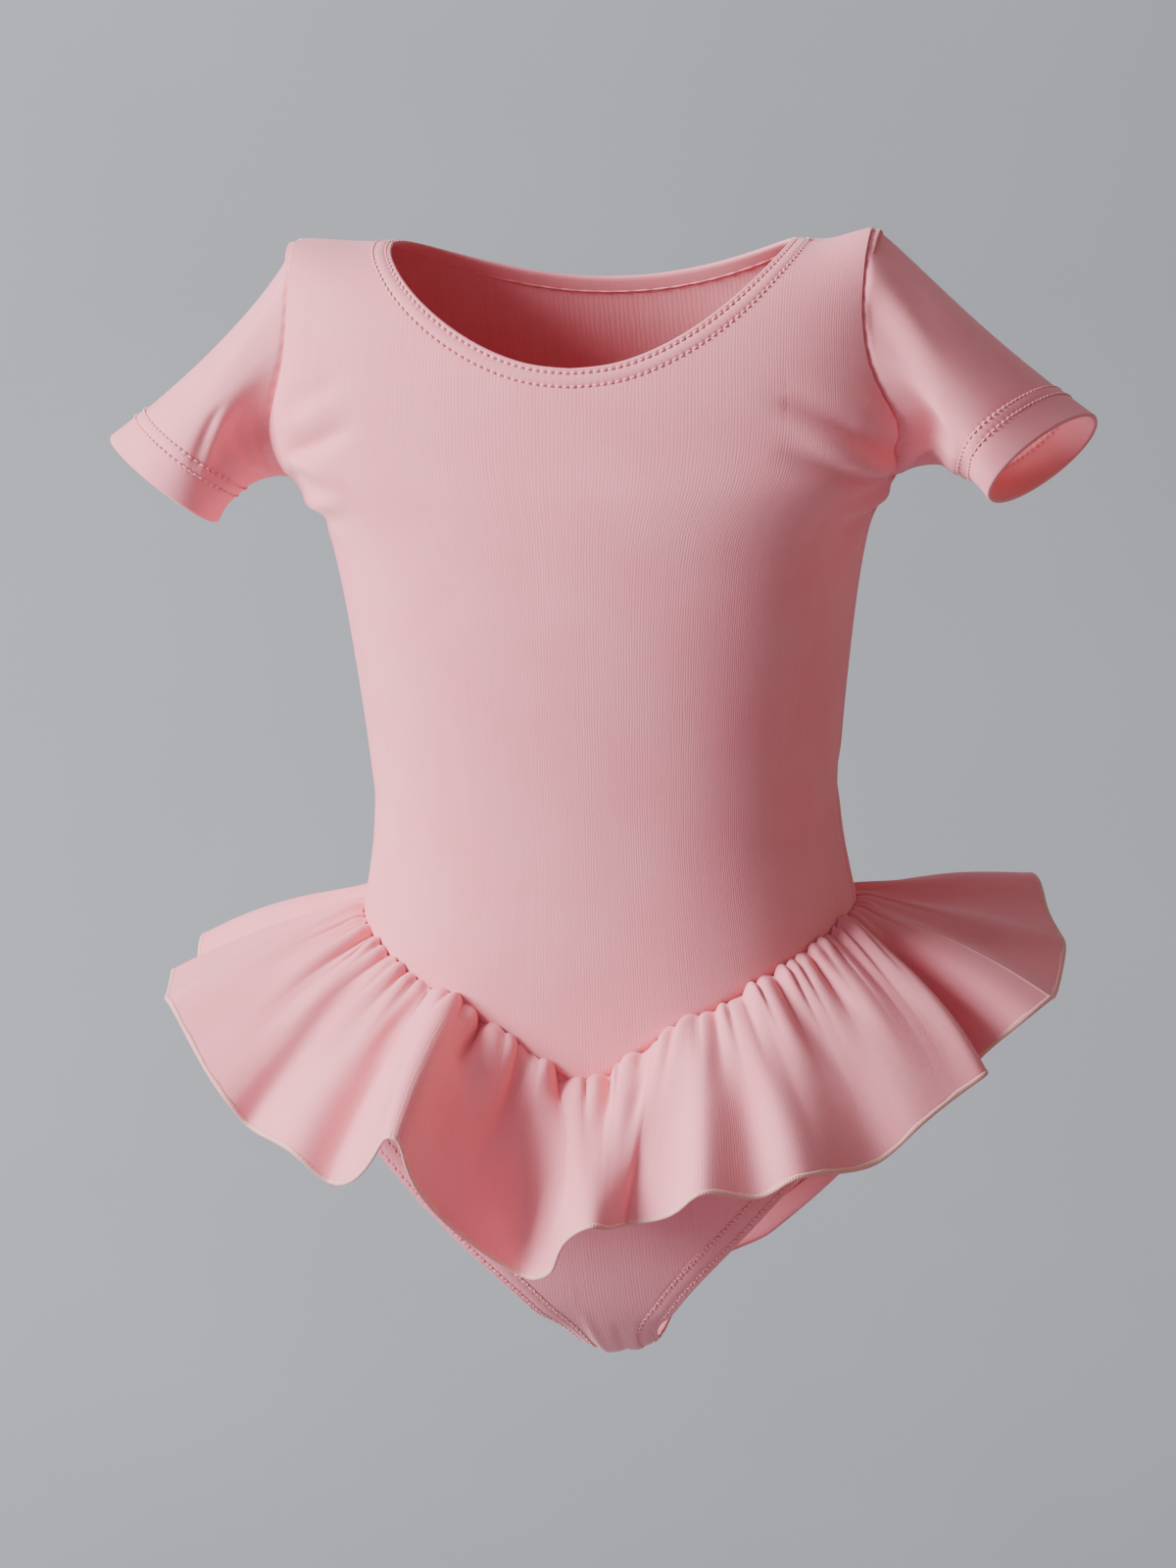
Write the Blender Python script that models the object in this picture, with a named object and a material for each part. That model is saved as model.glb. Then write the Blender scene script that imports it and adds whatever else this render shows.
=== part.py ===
"""A child's short-sleeved ballet leotard with a gathered skirt, in the shape it has when worn.

Metres, +Z up. The front faces -Y and the wearer's left is +X. The origin is the middle of the
shoulder line, which is where the wearer holds the garment up. Every piece is a cloth wall.
"""

import math

import bmesh
import bpy
import numpy as np
from mathutils import Vector

MM = 0.001
FRONT = -1
BACK = 1
HANDS = {"left": 1, "right": -1}
QUARTER_TURN = math.pi / 2

# Cloth
WALL = 1.3 * MM
RUFFLE_WALL = 1.2 * MM
BAND_WALL = 2.1 * MM
BAND_RAISE = 0.4 * MM
HEM_FOLD = 0.9 * MM
SEAM_GAP = 0.3 * MM

# The figure that the garment is cut for: a row for each level, from the shoulder line down,
# in millimetres: height, half width, depth of the front, depth of the back
LEVELS = (
    (0.0, 131.0, 0.0, 0.0),
    (-1.5, 131.0, 16.0, 14.0),
    (-6.0, 131.0, 31.0, 27.0),
    (-14.0, 131.0, 44.0, 38.0),
    (-26.0, 131.0, 53.0, 46.0),
    (-41.0, 131.5, 59.5, 52.0),
    (-58.0, 132.0, 64.0, 58.0),
    (-74.0, 130.0, 67.0, 62.0),
    (-86.0, 124.0, 69.5, 65.0),
    (-96.0, 115.0, 71.0, 66.5),
    (-107.0, 107.5, 72.0, 67.5),
    (-120.0, 103.5, 72.5, 68.0),
    (-140.0, 99.8, 73.0, 67.5),
    (-170.0, 95.7, 72.5, 65.0),
    (-205.0, 92.0, 71.5, 61.0),
    (-232.0, 92.2, 71.5, 59.5),
    (-258.0, 96.5, 72.5, 62.0),
    (-285.0, 101.5, 73.5, 68.0),
    (-312.0, 107.0, 74.0, 76.0),
    (-340.0, 111.0, 73.0, 82.0),
    (-368.0, 113.5, 69.0, 83.0),
    (-393.0, 114.5, 61.0, 78.0),
    (-413.0, 115.0, 50.0, 67.0),
    (-428.0, 115.0, 37.0, 51.0),
    (-439.0, 115.0, 23.0, 31.0),
    (-445.0, 115.0, 10.0, 12.0),
    (-446.0, 115.0, 0.0, 0.0),
)
LAST_LEVEL = len(LEVELS) - 1
# The leg elastic pulls the crotch strap up at its edges: this far, this far out.
STRAP_LIFT = 8.0 * MM
STRAP_HALF = 17.0 * MM
STRAP_REACH = 4.0
STRAP_FROM = 415.0 * MM
STRAP_DEEP = 31.0 * MM
# The share of a third harmonic that makes each section a little squarer than an ellipse.
SQUARENESS = 0.03

# Neckline: a parabola in the front view
NECK_HALF = 77.4 * MM
NECK_DROP = {FRONT: 39.7 * MM, BACK: 20.0 * MM}
NECK_BAND = 8.0 * MM

# Shoulders, with the small peak that each sleeve head pushes up
SHOULDER_HALF = 112.4 * MM
PEAK_FROM = 88.0 * MM
PEAK_RISE = {"left": 5.0 * MM, "right": 1.5 * MM}
PEAK_LEVELS = 3.5

# Armholes: height and distance out of each point from the shoulder to the underarm, in
# millimetres
ARMHOLES = {
    FRONT: (
        (0.0, 112.4),
        (-12.0, 111.6),
        (-32.0, 112.5),
        (-47.0, 116.0),
        (-59.0, 120.5),
        (-70.0, 123.0),
        (-82.0, 121.0),
        (-93.0, 117.5),
    ),
    BACK: (
        (0.0, 112.4),
        (-16.0, 112.4),
        (-36.0, 113.2),
        (-54.0, 116.5),
        (-70.0, 120.5),
        (-83.0, 121.0),
        (-93.0, 117.5),
    ),
}

# The yoke sits a little towards the wearer's right, by this much down to the underarm.
YOKE_SWAY = -3.3 * MM
YOKE_LEVELS = (3.0, 9.5)

# The waist seam that the skirt hangs from: a V with a rounded point, deeper at the front
SEAM_POINT_HEIGHT = {FRONT: -317.0 * MM, BACK: -300.0 * MM}
SEAM_SLOPE = {FRONT: 0.53, BACK: 0.387}
SEAM_POINT_ROUND = 6.0 * MM
SEAM_STEP = {FRONT: 5.0 * MM, BACK: 0.0}
SEAM_STEP_REACH = 35.0 * MM

# Leg openings: height and distance out of each point from the side to the crotch, in
# millimetres
LEG_EDGES = {
    FRONT: (
        (-333.0, 110.2),
        (-341.0, 99.5),
        (-352.0, 86.8),
        (-370.0, 69.5),
        (-391.0, 50.0),
        (-410.0, 33.5),
        (-428.0, 22.0),
        (-440.0, 17.6),
        (-446.0, 17.0),
    ),
    BACK: (
        (-333.0, 110.2),
        (-346.0, 107.5),
        (-367.0, 99.0),
        (-391.0, 81.0),
        (-411.0, 59.0),
        (-427.0, 38.0),
        (-438.0, 24.5),
        (-444.0, 18.5),
        (-446.0, 17.0),
    ),
}
LEG_BAND = 10.0 * MM
STRAP_TAPER = 0.97

# Sleeve hems, in millimetres: distance out and height of the highest point, the same of the
# lowest point, and how far the middle lies in front of the shoulder line
SLEEVES = {
    "left": (187.0, -66.2, 162.0, -98.0, 15.0),
    "right": (189.5, -74.2, 148.0, -105.8, 15.0),
}
SLEEVE_HALF_DEPTH = {"left": 35.0 * MM, "right": 33.0 * MM}
SLEEVE_TURN = {"left": 23.0, "right": 13.0}
SLEEVE_HEM = 17.0 * MM
SLEEVE_LENGTH = 90.0 * MM
# The cloth's slope and pull where it leaves the armhole and where it reaches the hem, each
# over the shoulder and under the arm
LEAVE_SLOPE = {"left": (-41.0, 42.0), "right": (-66.0, 30.0)}
REACH_SLOPE = {"left": (-34.0, -60.0), "right": (-35.0, -68.0)}
LEAVE_PULL = {"left": (70.0 * MM, 42.0 * MM), "right": (88.0 * MM, 34.0 * MM)}
REACH_PULL = {"left": (60.0 * MM, 40.0 * MM), "right": (66.0 * MM, 40.0 * MM)}

# The skirt's hem, from the wearer's right side (-1) to the left side (1), with a row for each
# crest, hollow and turn of its folds: the place on the waist seam that it hangs from, then in
# millimetres the distance out, the distance back from the shoulder line and the height
RUFFLES = {
    FRONT: (
        (-1.000, -176.0, -9.0, -291.0),
        (-0.930, -172.0, -38.0, -294.0),
        (-0.860, -165.0, -60.0, -292.0),
        (-0.700, -148.0, -82.0, -310.0),
        (-0.560, -136.0, -89.0, -324.0),
        (-0.500, -127.0, -90.0, -333.0),
        (-0.430, -109.0, -110.0, -335.0),
        (-0.370, -94.0, -111.0, -347.0),
        (-0.340, -78.0, -127.0, -339.0),
        (-0.315, -67.0, -142.0, -324.0),
        (-0.300, -63.0, -146.0, -319.0),
        (-0.285, -60.0, -146.0, -322.0),
        (-0.260, -57.0, -141.0, -336.0),
        (-0.215, -48.0, -131.0, -354.0),
        (-0.160, -35.0, -120.0, -370.0),
        (-0.110, -21.0, -112.0, -382.0),
        (-0.085, -12.0, -119.0, -381.0),
        (-0.065, -4.0, -133.0, -373.0),
        (-0.045, 2.0, -145.0, -360.0),
        (0.000, 12.0, -152.0, -351.0),
        (0.080, 18.0, -148.0, -352.0),
        (0.160, 22.0, -138.0, -354.0),
        (0.200, 26.0, -132.0, -355.0),
        (0.235, 43.0, -134.0, -350.0),
        (0.265, 55.0, -137.0, -341.0),
        (0.315, 72.0, -125.0, -346.0),
        (0.355, 85.0, -124.0, -340.0),
        (0.400, 97.0, -115.0, -339.0),
        (0.510, 114.0, -94.0, -341.0),
        (0.640, 130.0, -85.0, -329.0),
        (0.790, 147.0, -68.0, -318.0),
        (0.860, 153.0, -56.0, -315.0),
        (0.905, 147.0, -31.0, -318.0),
        (0.950, 163.0, -31.0, -303.0),
        (1.000, 175.0, -15.0, -296.0),
    ),
    BACK: (
        (-1.00, -176.0, -9.0, -291.0),
        (-0.91, -173.0, 21.0, -299.0),
        (-0.83, -174.0, 41.0, -289.0),
        (-0.74, -162.0, 60.0, -304.0),
        (-0.66, -148.0, 75.0, -315.0),
        (-0.57, -137.0, 99.0, -304.0),
        (-0.49, -122.0, 117.0, -298.0),
        (-0.40, -101.0, 123.0, -316.0),
        (-0.31, -82.0, 125.0, -332.0),
        (-0.23, -64.0, 139.0, -326.0),
        (-0.16, -46.0, 149.0, -317.0),
        (-0.09, -30.0, 149.0, -331.0),
        (-0.02, -9.0, 142.0, -352.0),
        (0.06, 17.0, 146.0, -343.0),
        (0.13, 36.0, 150.0, -321.0),
        (0.20, 53.0, 147.0, -313.0),
        (0.27, 71.0, 137.0, -323.0),
        (0.34, 87.0, 123.0, -331.0),
        (0.41, 102.0, 120.0, -321.0),
        (0.48, 119.0, 115.0, -302.0),
        (0.55, 138.0, 104.0, -288.0),
        (0.61, 154.0, 88.0, -273.0),
        (0.66, 162.0, 78.0, -272.0),
        (0.74, 166.0, 68.0, -281.0),
        (0.80, 173.0, 49.0, -287.0),
        (0.86, 176.0, 33.0, -290.0),
        (0.94, 175.0, 10.0, -299.0),
        (1.00, 175.0, -15.0, -296.0),
    ),
}
RUFFLE_RISE = 0.36
RUFFLE_BODY = 0.52
RUFFLE_STAND_OFF = 0.5 * MM
GATHERS = 28
GATHER_DEPTH = 2.0 * MM
GATHER_FADE = 0.24
GATHER_ROWS = (0.0, 0.07, 0.17, 0.32, 0.54, 0.77, 1.0)
GATHER_STEPS = 4

# The largest drag folds of the front, in millimetres in the front view: distance out and height
# of the armhole end, the same of the end where the fold dies out, half width, and depth, which
# is negative for a hollow
FRONT_FOLDS = (
    (-121.0, -68.0, -80.0, -46.0, 7.0, 1.6),
    (-122.0, -80.0, -78.0, -62.0, 6.5, -2.0),
    (-117.0, -95.0, -76.0, -84.0, 7.0, 1.4),
    (119.0, -66.0, 74.0, -58.0, 6.0, -2.0),
    (121.0, -76.0, 78.0, -68.0, 6.0, 1.8),
    (120.0, -86.0, 80.0, -79.0, 6.0, -2.0),
)

# How finely each piece is cut into faces
NECK_COLUMNS = 8
SHOULDER_COLUMNS = 3
ARMHOLE_COLUMNS_OF_FACES = 12
PANEL_ROWS = {FRONT: 13, BACK: 10}
CROTCH_COLUMNS = 4
SEAM_MIDDLE = 0.02
LEG_COLUMNS_OF_FACES = 19
BRIEF_ROWS = 7
BRIEF_SPREAD = 3.0
BAND_ROWS = 2
SLEEVE_ROWS = (0.0, 0.1, 0.24, 0.4, 0.56, 0.7, 0.82, 0.9, 1.0)

ROSE = (0.84, 0.42, 0.47, 1.0)
DEEP_ROSE = (0.78, 0.37, 0.43, 1.0)


def spline_through(values):
    """A natural cubic spline through values at 0, 1, 2 and so on, as a function."""
    values = np.asarray(values, float)
    count = len(values)
    system = np.eye(count)
    right = np.zeros(values.shape)
    for i in range(1, count - 1):
        system[i, i - 1 : i + 2] = (1, 4, 1)
        right[i] = 6 * (values[i + 1] - 2 * values[i] + values[i - 1])
    bend = np.linalg.solve(system, right)

    def at(where):
        where = np.clip(np.asarray(where, float), 0, count - 1)
        i = np.minimum(where.astype(int), count - 2)
        b = (where - i)[..., None]
        a = 1 - b
        return (
            a * values[i]
            + b * values[i + 1]
            + ((a**3 - a) * bend[i] + (b**3 - b) * bend[i + 1]) / 6
        )

    return at


def eased(x):
    """A smooth step from 0 to 1."""
    x = np.clip(x, 0, 1)
    return x * x * (3 - 2 * x)


def unit(vectors):
    return vectors / np.maximum(np.linalg.norm(vectors, axis=-1, keepdims=True), 1e-12)


level_sizes = spline_through(np.array(LEVELS) * MM)
LEVEL_STEPS = np.linspace(0, LAST_LEVEL, 1301)
LEVEL_HEIGHTS = level_sizes(LEVEL_STEPS)[:, 0]


def level_at(height):
    """The level, counted in rows of LEVELS, that lies at a height."""
    return np.interp(-np.asarray(height), -LEVEL_HEIGHTS, LEVEL_STEPS)


def across_share(turn):
    angle = turn * QUARTER_TURN
    return (np.sin(angle) + SQUARENESS * np.sin(3 * angle)) / (1 - SQUARENESS)


def forward_share(turn):
    angle = turn * QUARTER_TURN
    return (np.cos(angle) - SQUARENESS * np.cos(3 * angle)) / (1 - SQUARENESS)


TURN_STEPS = np.linspace(0, 1, 801)


def turn_at(out, level):
    """How far round from the centre (0) to the side (1) a point lies, from its distance out."""
    share = np.abs(out) / level_sizes(level)[..., 1]
    return np.sign(out) * np.interp(share, across_share(TURN_STEPS), TURN_STEPS)


def drag_folds(x, z):
    """How far the front's drag folds lift the cloth at points of the front view."""
    lift = np.zeros(np.shape(x))
    for out, height, end_out, end_height, half_width, depth in np.array(FRONT_FOLDS) * MM:
        start = np.array((out, height))
        run = np.array((end_out, end_height)) - start
        length = np.linalg.norm(run)
        along = ((x - start[0]) * run[0] + (z - start[1]) * run[1]) / length**2
        aside = ((x - start[0]) * run[1] - (z - start[1]) * run[0]) / length
        fade = eased(1 - along) * eased(1 + along / 0.3)
        lift += depth * fade * np.exp(-((aside / half_width) ** 2))
    return lift


def figure_point(side, turn, level):
    """A point of the garment's outer surface, before folds."""
    sizes = level_sizes(level)
    height, half_width = sizes[..., 0], sizes[..., 1]
    depth = sizes[..., 2 if side == FRONT else 3]
    x = half_width * across_share(turn)
    y = side * (depth * forward_share(turn) + SEAM_GAP / 2)
    rise = np.where(x > 0, PEAK_RISE["left"], PEAK_RISE["right"])
    peak = rise * eased((np.abs(x) - PEAK_FROM) / (SHOULDER_HALF - PEAK_FROM))
    aside = (x / STRAP_HALF) ** 2
    strap = STRAP_LIFT * aside / (1 + aside / STRAP_REACH)
    strap = strap * eased((-height - STRAP_FROM) / STRAP_DEEP)
    z = height + peak * eased(1 - np.asarray(level) / PEAK_LEVELS) + strap
    return np.stack(np.broadcast_arrays(x, y, z), axis=-1)


def figure_normal(side, turn, level):
    """The outward normal of the figure."""
    turn, level = np.broadcast_arrays(np.asarray(turn, float), np.asarray(level, float))
    step = 2e-3
    above = np.clip(level - step, 0, LAST_LEVEL)
    below = np.clip(level + step, 0, LAST_LEVEL)
    along = figure_point(side, turn + step, level) - figure_point(side, turn - step, level)
    down = figure_point(side, turn, below) - figure_point(side, turn, above)
    return side * unit(np.cross(along, down))


def cloth_point(side, turn, level, raised=0.0):
    """A point of the garment's outer surface with its folds, moved out by raised."""
    points = figure_point(side, turn, level)
    if side == FRONT:
        raised = raised + drag_folds(points[..., 0], points[..., 2])
    raised = np.asarray(raised)[..., None]
    return points + figure_normal(side, turn, level) * raised


def slid(side, path, distance):
    """A path of (turn, level) points moved sideways on the cloth, into the panel."""
    path = np.array(path, float)
    steps = 4
    for _ in range(steps):
        turn, level = path[:, 0], path[:, 1]
        points = figure_point(side, turn, level)
        way = np.gradient(points, axis=0)
        inward = unit(np.cross(way, figure_normal(side, turn, level))) * -side
        aside = inward * distance / steps
        h = 1e-3
        by_turn = (figure_point(side, turn + h, level) - points) / h
        lower = np.clip(level + h, 0, LAST_LEVEL)
        upper = np.clip(level - h, 0, LAST_LEVEL)
        spread = (lower - upper)[:, None]
        by_level = (figure_point(side, turn, lower) - figure_point(side, turn, upper)) / spread
        for i in range(len(path)):
            jacobian = np.stack((by_turn[i], by_level[i]), axis=1)
            path[i] += np.linalg.lstsq(jacobian, aside[i], rcond=None)[0]
        path[:, 1] = np.clip(path[:, 1], 0, LAST_LEVEL)
    return path


def evenly_spaced(side, path, count):
    """A path of (turn, level) points read again at count + 1 points, equally far apart."""
    points = figure_point(side, path[:, 0], path[:, 1])
    steps = np.linalg.norm(np.diff(points, axis=0), axis=1)
    length = np.concatenate(([0], np.cumsum(steps)))
    wanted = np.linspace(0, length[-1], count + 1)
    return np.stack([np.interp(wanted, length, path[:, k]) for k in (0, 1)], axis=1)


def neck_path(side, inset):
    """A path as long as the neckline but lower, from the centre to the shoulder."""
    share = np.linspace(0, 1, 121)
    level = level_at(-NECK_DROP[side] * (1 - share**2))
    level[-1] = 0
    path = np.stack((turn_at(NECK_HALF * share, level), level), axis=1)
    path = slid(side, evenly_spaced(side, path, NECK_COLUMNS), inset)
    path[0, 0] = 0
    path[-1, 1] = 0
    return path


def edge_path(side, rows, sway=0.0):
    """A path through a table of heights and distances out, with its upper part moved out."""
    through = spline_through(np.array(rows) * MM)
    height, out = through(np.linspace(0, len(rows) - 1, 161)).T
    level = level_at(height)
    first, last = YOKE_LEVELS
    out = out + sway * (1 - eased((level - first) / (last - first)))
    return np.stack((turn_at(out, level), level), axis=1)


def armhole_path(side, hand):
    """One armhole, from the shoulder to the underarm."""
    path = edge_path(side, ARMHOLES[side], hand * YOKE_SWAY)
    path[0, 1] = 0
    path[-1, 0] = 1
    return path * (hand, 1)


def leg_path(side, inset):
    """A path along the edge of a leg opening, moved in, from the side to the crotch."""
    path = edge_path(side, LEG_EDGES[side])
    path = slid(side, evenly_spaced(side, path, LEG_COLUMNS_OF_FACES), inset)
    path[0, 0] = 1
    # The strap is no wider at the crotch seam than just above it.
    path[-1] = (min(path[-1, 0], path[-2, 0] * STRAP_TAPER), LAST_LEVEL)
    return path


def seam_level(side, turn):
    """The level of the waist seam's V."""
    level = level_at(np.full(np.shape(turn), SEAM_POINT_HEIGHT[side]))
    for _ in range(12):
        out = level_sizes(level)[..., 1] * across_share(turn)
        rise = np.sqrt(out**2 + SEAM_POINT_ROUND**2) - SEAM_POINT_ROUND
        step = SEAM_STEP[side] * eased(np.abs(out) / SEAM_STEP_REACH)
        level = level_at(SEAM_POINT_HEIGHT[side] + SEAM_SLOPE[side] * rise + step)
    return level


def waist_seam(side, count, above):
    """Points along the waist seam from the centre to the side, a little above or below it."""
    middle = np.linspace(0, SEAM_MIDDLE, CROTCH_COLUMNS + 1)[:-1]
    turn = np.append(middle, np.linspace(SEAM_MIDDLE, 1, count - CROTCH_COLUMNS))
    height = level_sizes(seam_level(side, turn))[:, 0] + above
    return np.stack((turn, level_at(height)), axis=1)


def mirrored(half):
    """A half's path, from the centre to the side, made whole from side to side."""
    return np.concatenate((half[:0:-1] * (-1, 1), half))


def smooth_material(name, colour, roughness):
    material = bpy.data.materials.new(name)
    material.use_nodes = True
    shader = material.node_tree.nodes["Principled BSDF"]
    shader.inputs["Base Color"].default_value = colour
    shader.inputs["Roughness"].default_value = roughness
    shader.inputs["Metallic"].default_value = 0.0
    return material


def wall_object(name, outer, inner, material, ring=False):
    """A closed wall between two grids of points. With ring, its columns meet end to end."""
    rows, columns = outer.shape[:2]
    mesh = bmesh.new()
    corners = [
        [[mesh.verts.new(point) for point in row] for row in grid]
        for grid in (outer.tolist(), inner.tolist())
    ]
    spans = [(j, (j + 1) % columns) for j in range(columns if ring else columns - 1)]
    for i in range(rows - 1):
        for j, k in spans:
            for face in corners:
                a, b, c, d = face[i][j], face[i][k], face[i + 1][k], face[i + 1][j]
                # Each square is split along its shorter diagonal.
                if (a.co - c.co).length > (b.co - d.co).length:
                    a, b, c, d = b, c, d, a
                mesh.faces.new((a, b, c))
                mesh.faces.new((a, c, d))
    top, bottom = corners
    ends = ((0, 1), (rows - 1, rows - 2))
    rims = [((i, j), (i, k), (n, j), (n, k)) for i, n in ends for j, k in spans]
    if not ring:
        ends = ((0, 1), (columns - 1, columns - 2))
        rims += [
            ((i, j), (i + 1, j), (i, n), (i + 1, n)) for j, n in ends for i in range(rows - 1)
        ]
    for here, there, *inside in rims:
        a, b, c, d = (
            grid[i][j]
            for grid, (i, j) in ((top, here), (top, there), (bottom, there), (bottom, here))
        )
        middle = sum((top[i][j].co + bottom[i][j].co for i, j in inside), Vector()) / 4
        # Each edge face is split along the diagonal that lies further in, clear of the next piece.
        if ((a.co + c.co) / 2 - middle).length > ((b.co + d.co) / 2 - middle).length:
            a, b, c, d = b, c, d, a
        mesh.faces.new((a, b, c))
        mesh.faces.new((a, c, d))
    bmesh.ops.recalc_face_normals(mesh, faces=mesh.faces)
    if mesh.calc_volume(signed=True) < 0:
        bmesh.ops.reverse_faces(mesh, faces=mesh.faces)
    data = bpy.data.meshes.new(name)
    mesh.to_mesh(data)
    mesh.free()
    data.shade_smooth()
    data.set_sharp_from_angle(angle=math.radians(50))
    data.materials.append(material)
    piece = bpy.data.objects.new(name, data)
    bpy.context.scene.collection.objects.link(piece)
    return piece


def cloth_wall(name, side, chart, thickness, material, raised=0.0):
    """A wall on the garment's surface, from a grid of (turn, level) points."""
    turn, level = chart[..., 0], chart[..., 1]
    outer = cloth_point(side, turn, level, raised)
    inner = cloth_point(side, turn, level, raised - thickness)
    return wall_object(name, outer, inner, material)


def between(first, last, rows, spread=1.0):
    """A grid of rows + 1 paths from one path to another, even in level. With a spread over 1
    each column turns towards its last point early on, then runs straight down."""
    share = np.linspace(0, 1, rows + 1)[:, None]
    share = np.stack((1 - (1 - share) ** spread, share), axis=-1)
    return first[None] * (1 - share) + last[None] * share


def bodice_panel(name, side, material):
    """The front or back, from the waist seam up to the neck band, shoulders and armholes."""
    neck = neck_path(side, NECK_BAND + SEAM_GAP)
    halves = []
    for hand in (1, -1):
        armhole = armhole_path(side, hand)
        shoulder = np.zeros((SHOULDER_COLUMNS + 1, 2))
        shoulder[:, 0] = np.linspace(neck[-1, 0] * hand, armhole[0, 0], len(shoulder))
        halves.append(
            np.concatenate(
                (
                    neck * (hand, 1),
                    shoulder[1:],
                    evenly_spaced(side, armhole, ARMHOLE_COLUMNS_OF_FACES)[1:],
                )
            )
        )
    left, right = halves
    top = np.concatenate((right[:0:-1], left))
    seam = mirrored(waist_seam(side, len(left), SEAM_GAP / 2))
    grid = between(seam, top, PANEL_ROWS[side])
    return cloth_wall(name, side, grid, WALL, material)


def brief_panel(name, side, material):
    """The lower front or back, from the waist seam down to the leg bands and the crotch."""
    leg = leg_path(side, LEG_BAND + SEAM_GAP)[::-1]
    crotch_turn = np.linspace(0, leg[0, 0], CROTCH_COLUMNS + 1)[:-1]
    crotch = np.stack((crotch_turn, np.full(CROTCH_COLUMNS, LAST_LEVEL)), axis=1)
    bottom = np.concatenate((crotch, leg))
    seam = waist_seam(side, len(bottom), -SEAM_GAP / 2)
    grid = between(mirrored(seam), mirrored(bottom), BRIEF_ROWS, BRIEF_SPREAD)
    return cloth_wall(name, side, grid, WALL, material)


def neck_band(name, side, material):
    """The turned edge with elastic in it, along the front or back of the neck."""
    edge, inner = neck_path(side, 0.0), neck_path(side, NECK_BAND)
    grid = between(mirrored(edge), mirrored(inner), BAND_ROWS)
    return cloth_wall(name, side, grid, BAND_WALL, material, BAND_RAISE)


def leg_band(name, hand, material):
    """The elastic edge round one leg opening: its front, then its back."""
    outer, inner = [], []
    for side in (FRONT, BACK):
        edge, inset = leg_path(side, 0.0), leg_path(side, LEG_BAND)
        grid = between(edge, inset, BAND_ROWS) * (hand, 1)
        grid = grid[:, :-1] if side == FRONT else grid[:, :0:-1]
        turn, level = grid[..., 0], grid[..., 1]
        outer.append(cloth_point(side, turn, level, BAND_RAISE))
        inner.append(cloth_point(side, turn, level, BAND_RAISE - BAND_WALL))
    # The side seam and the crotch seam are where the two runs meet.
    outer, inner = (np.concatenate(runs, axis=1) for runs in (outer, inner))
    return wall_object(name, outer, inner, material, ring=True)


def armhole_loop(hand, count):
    """Points round an armhole: (place, way out of the armhole, outward normal) for each."""
    runs = []
    for side in (FRONT, BACK):
        path = evenly_spaced(side, armhole_path(side, hand), count)
        place = cloth_point(side, path[:, 0], path[:, 1])
        normal = figure_normal(side, path[:, 0], path[:, 1])
        way = np.gradient(place, axis=0)
        out = unit(np.cross(normal, way)) * side * -hand
        run = np.stack((place, out, normal), axis=1)
        runs.append(run[:-1] if side == FRONT else run[:0:-1])
    loop = np.concatenate(runs)
    return loop[:, 0], loop[:, 1], unit(loop[:, 2])


def leaning(hand, slopes, pulls, under):
    """Ways out along a sleeve, between its way over the shoulder and its way under the arm."""
    over_slope, under_slope = np.radians(slopes)
    slope = over_slope * (1 - under) + under_slope * under
    pull = pulls[0] * (1 - under) + pulls[1] * under
    way = np.concatenate((hand * np.cos(slope), np.zeros_like(slope), np.sin(slope)), axis=1)
    return way * pull


def sleeve(name, hand_name, material):
    """A short sleeve: rings from the armhole to the hem, the last of them two layers thick."""
    hand = HANDS[hand_name]
    half_count = ARMHOLE_COLUMNS_OF_FACES
    place, out, normal = armhole_loop(hand, half_count)
    place = place + out * SEAM_GAP
    top_out, top_height, low_out, low_height, forward = np.array(SLEEVES[hand_name]) * MM
    top = np.array((hand * top_out, -forward, top_height))
    low = np.array((hand * low_out, -forward, low_height))
    middle = (top + low) / 2
    rise = (top - low) / 2
    turned = math.radians(SLEEVE_TURN[hand_name])
    deep = np.array((math.sin(turned) * hand, math.cos(turned), 0.0))
    deep = deep * SLEEVE_HALF_DEPTH[hand_name]
    turns = np.linspace(0, 2 * math.pi, 2 * half_count, endpoint=False)
    hem = middle + rise * np.cos(turns)[:, None] - deep * np.sin(turns)[:, None]
    under = ((1 - np.cos(turns)) / 2)[:, None]
    leave = leaning(hand, LEAVE_SLOPE[hand_name], LEAVE_PULL[hand_name], under)
    arrive = leaning(hand, REACH_SLOPE[hand_name], REACH_PULL[hand_name], under)
    share = np.array(SLEEVE_ROWS)[:, None, None]
    outer = (
        (2 * share**3 - 3 * share**2 + 1) * place
        + (share**3 - 2 * share**2 + share) * leave
        + (3 * share**2 - 2 * share**3) * hem
        + (share**3 - share**2) * arrive
    )
    along = np.gradient(outer, axis=0)
    around = np.roll(outer, -1, axis=1) - np.roll(outer, 1, axis=1)
    normals = unit(np.cross(around, along)) * hand
    normals[0] = normal
    thickness = np.full((len(SLEEVE_ROWS), 1, 1), WALL)
    thickness[np.array(SLEEVE_ROWS) > 1 - SLEEVE_HEM / SLEEVE_LENGTH] += HEM_FOLD
    return wall_object(name, outer, outer - normals * thickness, material, ring=True)


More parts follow.
